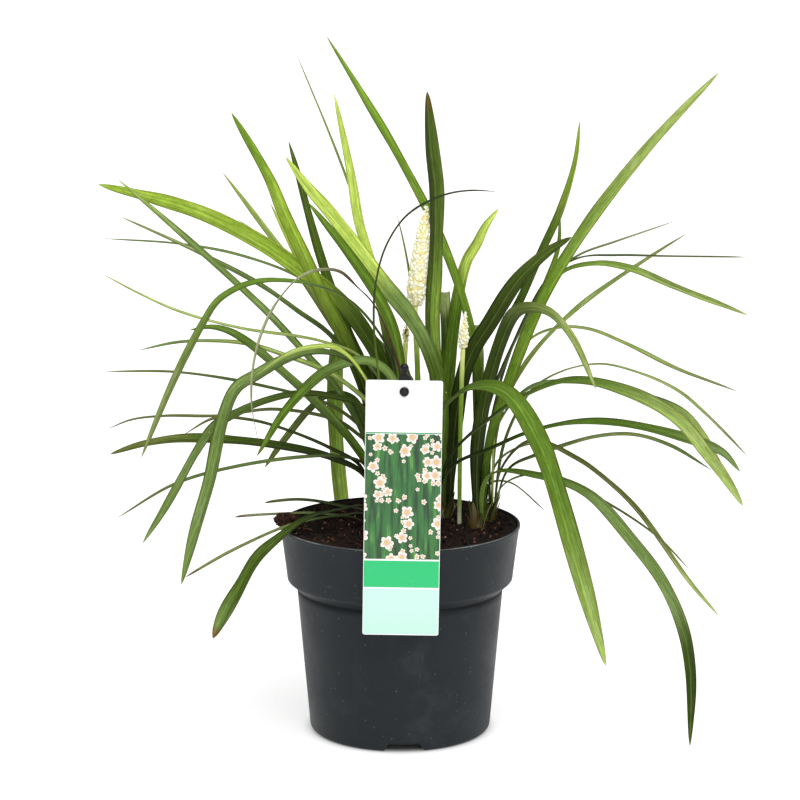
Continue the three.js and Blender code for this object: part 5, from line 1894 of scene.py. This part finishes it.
@dataclass
class HangCard:
    """The thin printed card, with round corners and a hole near its top edge."""

    width: float = 51.6
    height: float = 175.3
    thickness: float = 0.8
    corner: float = 1.6
    edge_round: float = 0.13
    edge_soft: float = 0.12
    face_rows: int = 14
    hole_radius: float = 2.7
    hole_below_top: float = 7.6
    stand: Stand = Stand((0.2, -87.6, 91.4), (3.0, -84.9, 266.6))

    @property
    def hole_height(self) -> float:
        """Height of the hole's middle above the card's lower edge."""
        return self.height - self.hole_below_top

    def outline(self, inset: float) -> Array:
        """The card's edge with its round corners, drawn in by an inset.

        Each corner is a quarter circle, and a straight run follows it to the next one.

        Args:
            inset: How far inside the true edge it runs.

        Returns:
            Rows of across and up, evenly matched for every inset.
        """
        right, low = self.width / 2 - self.corner, self.corner
        top, radius = self.height - self.corner, self.corner - inset
        short, long = (2 * right, 24), (self.height - 2 * self.corner, 70)
        spots = ((right, top, short), (-right, top, long), (-right, low, short), (right, low, long))
        rows = []
        for quarter, (x, y, (run, steps)) in enumerate(spots):
            turn = quarter * np.pi / 2 + np.linspace(0, np.pi / 2, 9)
            edge = np.stack([x + radius * np.cos(turn), y + radius * np.sin(turn)], axis=1)
            ahead = quarter * np.pi / 2 + np.pi
            way = np.array([np.cos(ahead), np.sin(ahead)])
            rows += [edge, edge[-1:] + np.linspace(0, run, steps)[1:-1, None] * way]
        return np.concatenate(rows)

    def build(self, material: Material) -> Piece:
        """Rings from the hole's edge out to the card's edge, round it and back.

        Args:
            material: The printed card.

        Returns:
            The piece.
        """
        middle = np.array([0.0, self.hole_height])
        edge, soft = self.outline(0.0), self.outline(self.edge_soft)
        way, rows = unit(edge - middle), self.face_rows
        deep, side = self.thickness / 2, self.thickness / 2 - self.edge_round
        hole, soft_hole = (middle + way * (self.hole_radius + more) for more in (0.0, 0.1))
        face = blend(soft_hole, soft, np.linspace(0, 1, rows)[:, None, None] ** 1.5)
        flat = np.concatenate([face, [edge, edge], face[::-1], [hole, hole]])
        lift = np.array([deep] * rows + [side, -side] + [-deep] * rows + [-side, side])
        lift = np.broadcast_to(lift[:, None, None], (*flat.shape[:2], 1))
        points = self.stand.placed(np.concatenate([flat, lift], axis=-1))
        front = np.broadcast_to((lift > deep - 0.2).astype(float), points.shape)
        card = grid_surface(points, flat, front, closed_rows=True)
        return make_piece("printed_card", card, material, "label_card")


@dataclass
class CardStake:
    """The black stake: a pointed bar with a collar and a knob, and a peg for the card."""

    width: float = 5.4
    thickness: float = 2.2
    below: float = 88.0
    above: float = 17.5
    collar_below_top: float = 9.5
    point_height: float = 12.0
    peg_radius: float = 2.2
    peg_back: float = 2.85
    head_radius: float = 3.2
    head_thickness: float = 1.6
    card_gap: float = 0.35
    knob_radius: float = 3.1
    stand: Stand = Stand((1.6, -72.3, 146.0), (2.7, -82.0, 259.0))

    def bar(self) -> Surface:
        """The bar: its half width changes along its height, and its edges are rounded.

        Around the section the angle a gives across = w |cos a|^0.45 and deep = t |sin a|^0.35,
        each with its own sign. Above the collar both powers grow to 1, for the round knob.

        Returns:
            The closed surface.
        """
        top, half = float(np.linalg.norm(self.stand.rise)) + self.above, self.width / 2
        collar = top - self.collar_below_top
        point = [[-self.below, 0.5], [-self.below + self.point_height, half]]
        swell = [[-1.6, half], [-1.0, 3.8], [0.8, 3.8], [2.4, 3.0], [3.4, 2.0], [4.2, 1.5]]
        turn, knob = np.linspace(0.5, np.pi - 0.05, 22), self.knob_radius
        knob_rows = [top + 1.4 - knob - knob * np.cos(turn), knob * np.sin(turn)]
        steps = np.concatenate([point, swell + np.array([collar, 0]), np.stack(knob_rows, axis=1)])
        even = [np.linspace(-self.below, collar - 2, 60), np.linspace(collar - 2, top + 1.3, 50)]
        heights = np.unique(np.concatenate([steps[:, 0], *even]))[:, None]
        wide = np.interp(heights, steps[:, 0], steps[:, 1])
        rounded = smooth_step(collar + 2.6, collar + 4.2, heights)
        cos, sin = np.cos(turns_round(28)), np.sin(turns_round(28))
        across = np.sign(cos) * np.abs(cos) ** (0.45 + 0.55 * rounded)
        deep = np.sign(sin) * np.abs(sin) ** (0.35 + 0.65 * rounded)
        thick = blend(np.minimum(self.thickness / 2, wide + 0.35), wide, rounded)
        up = np.broadcast_to(heights, across.shape)
        points = np.stack([wide * across, up, thick * deep], axis=-1)
        unshaded = np.full(points.shape, UNSHADED_TINT)
        return grid_surface(self.stand.placed(points), points[..., :2], unshaded)

    def peg(self, card: HangCard) -> Surface:
        """The round peg through the card's hole, with its head in front of the card."""
        back, shank = card.thickness / 2 + self.card_gap, self.peg_radius - 0.1
        front, head = back + self.head_thickness, self.head_radius
        profile = [[0, -self.peg_back], [shank, -self.peg_back], [shank, back]]
        profile += [[head - 0.15, back], [head, back + 0.15], [head, back + 0.7]]
        profile += [[head - 0.25, back + 1.05], [head * 0.7, front - 0.12]]
        profile += [[head * 0.5, front], [0, front]]
        peg = lathe(np.array(profile), 40)
        peg.points = card.stand.placed(peg.points + np.array([0.0, card.hole_height, 0.0]))
        return peg.outward()

    def build(self, material: Material, card: HangCard) -> Piece:
        """Joins the bar and the peg that the card hangs on."""
        whole = joined([self.bar(), self.peg(card)])
        return make_piece("card_stake", whole, material, "label_stake")


# ---- studio


@dataclass
class Studio:
    """A pale floor, soft light from all round with a broad key light, and the camera."""

    floor_half: float = 60.0
    world_strength: float = 0.5
    light_spread: float = 60.0
    lens: float = 123.0
    sensor: float = 36.0
    sees_to: float = 100.0

    @staticmethod
    def placed(name: str, data: bpy.types.ID | None) -> Piece:
        """A new object of the scene."""
        thing = bpy.data.objects.new(name, data)
        bpy.context.scene.collection.objects.link(thing)
        return thing

    def floor(self, material: Material) -> Piece:
        """The floor, a plain object of the scene that isn't attached to the plant's body."""
        mesh, half = bpy.data.meshes.new("floor"), self.floor_half
        corners = [(-half, -half, 0), (half, -half, 0), (half, half, 0), (-half, half, 0)]
        mesh.from_pydata(corners, [], [(0, 1, 2, 3)])
        mesh.materials.append(material)
        floor = self.placed("floor", mesh)
        return floor

    def sun(self, name: str, towards: Triple, strength: float) -> Piece:
        """A far, broad light: it shines alike on all of the floor.

        Args:
            name: Name of the light.
            towards: Direction in which it stands.
            strength: Its strength in watts for each square metre.

        Returns:
            The light.
        """
        data = bpy.data.lights.new(name, "SUN")
        data.energy, data.angle = strength, math.radians(self.light_spread)
        lamp = self.placed(name, data)
        lamp.rotation_euler = (-Vector(towards)).to_track_quat("-Z", "Y").to_euler()
        return lamp

    def world(self) -> None:
        """White light from all round."""
        world = bpy.data.worlds.new("studio")
        world.use_nodes = True
        background = next(n for n in world.node_tree.nodes if n.type == "BACKGROUND")
        background.inputs["Color"].default_value = (1.0, 1.0, 1.0, 1.0)
        background.inputs["Strength"].default_value = self.world_strength
        bpy.context.scene.world = world

    def camera(self) -> Piece:
        """The camera, at the easel's eye and turned to its aim."""
        data = bpy.data.cameras.new("camera")
        data.lens, data.sensor_width, data.clip_end = self.lens, self.sensor, self.sees_to
        camera = self.placed("camera", data)
        camera.location = Vector(EASEL.eye * MM)
        way = Vector((0.0, 0.0, EASEL.aim * MM)) - camera.location
        camera.rotation_euler = way.to_track_quat("-Z", "Y").to_euler()
        bpy.context.scene.camera = camera
        return camera

    def build(self, material: Material) -> None:
        """Sets up the floor, the world, the lights and the camera."""
        self.floor(material)
        self.world()
        self.sun("key", (0.22, -0.5, 1.15), 2.0)
        self.sun("fill", (0.25, -1.0, 0.35), 0.45)
        self.camera()
        bpy.context.scene.view_settings.view_transform = "Standard"


# ---- the whole plant


def main() -> None:
    """Builds and dresses every piece, then the studio."""
    logging.basicConfig(level=logging.INFO, format="%(name)s: %(message)s")
    groups, pot, card = Groups(), Pot(), HangCard()
    pot.build(Paint(POT_FINISH, groups).moulded(0.5, POT_RINGS, POT_MARKS))
    Soil(pot).build(Paint(PEAT_FINISH, groups).peat())
    leaf = Paint(LEAF_FINISH, groups).leaf()
    for number, tuft in enumerate(TUFTS):
        tuft.build(leaf, seed=100 + 200 * number)
    WITHERED.build(Paint(DRY_FINISH, groups).dry(), seed=7)
    stem, bud = Paint(STEM_FINISH, groups).stem(), Paint(BUD_FINISH, groups).bud()
    for spike in SPIKES:
        spike.build(stem, bud)
    card.build(CardPrint().draw(Paint(CARD_FINISH, groups)))
    CardStake().build(Paint(STAKE_FINISH, groups).moulded(0.05), card)
    Studio().build(Paint(FLOOR_FINISH, groups).floor())


if __name__ == "__main__":
    main()
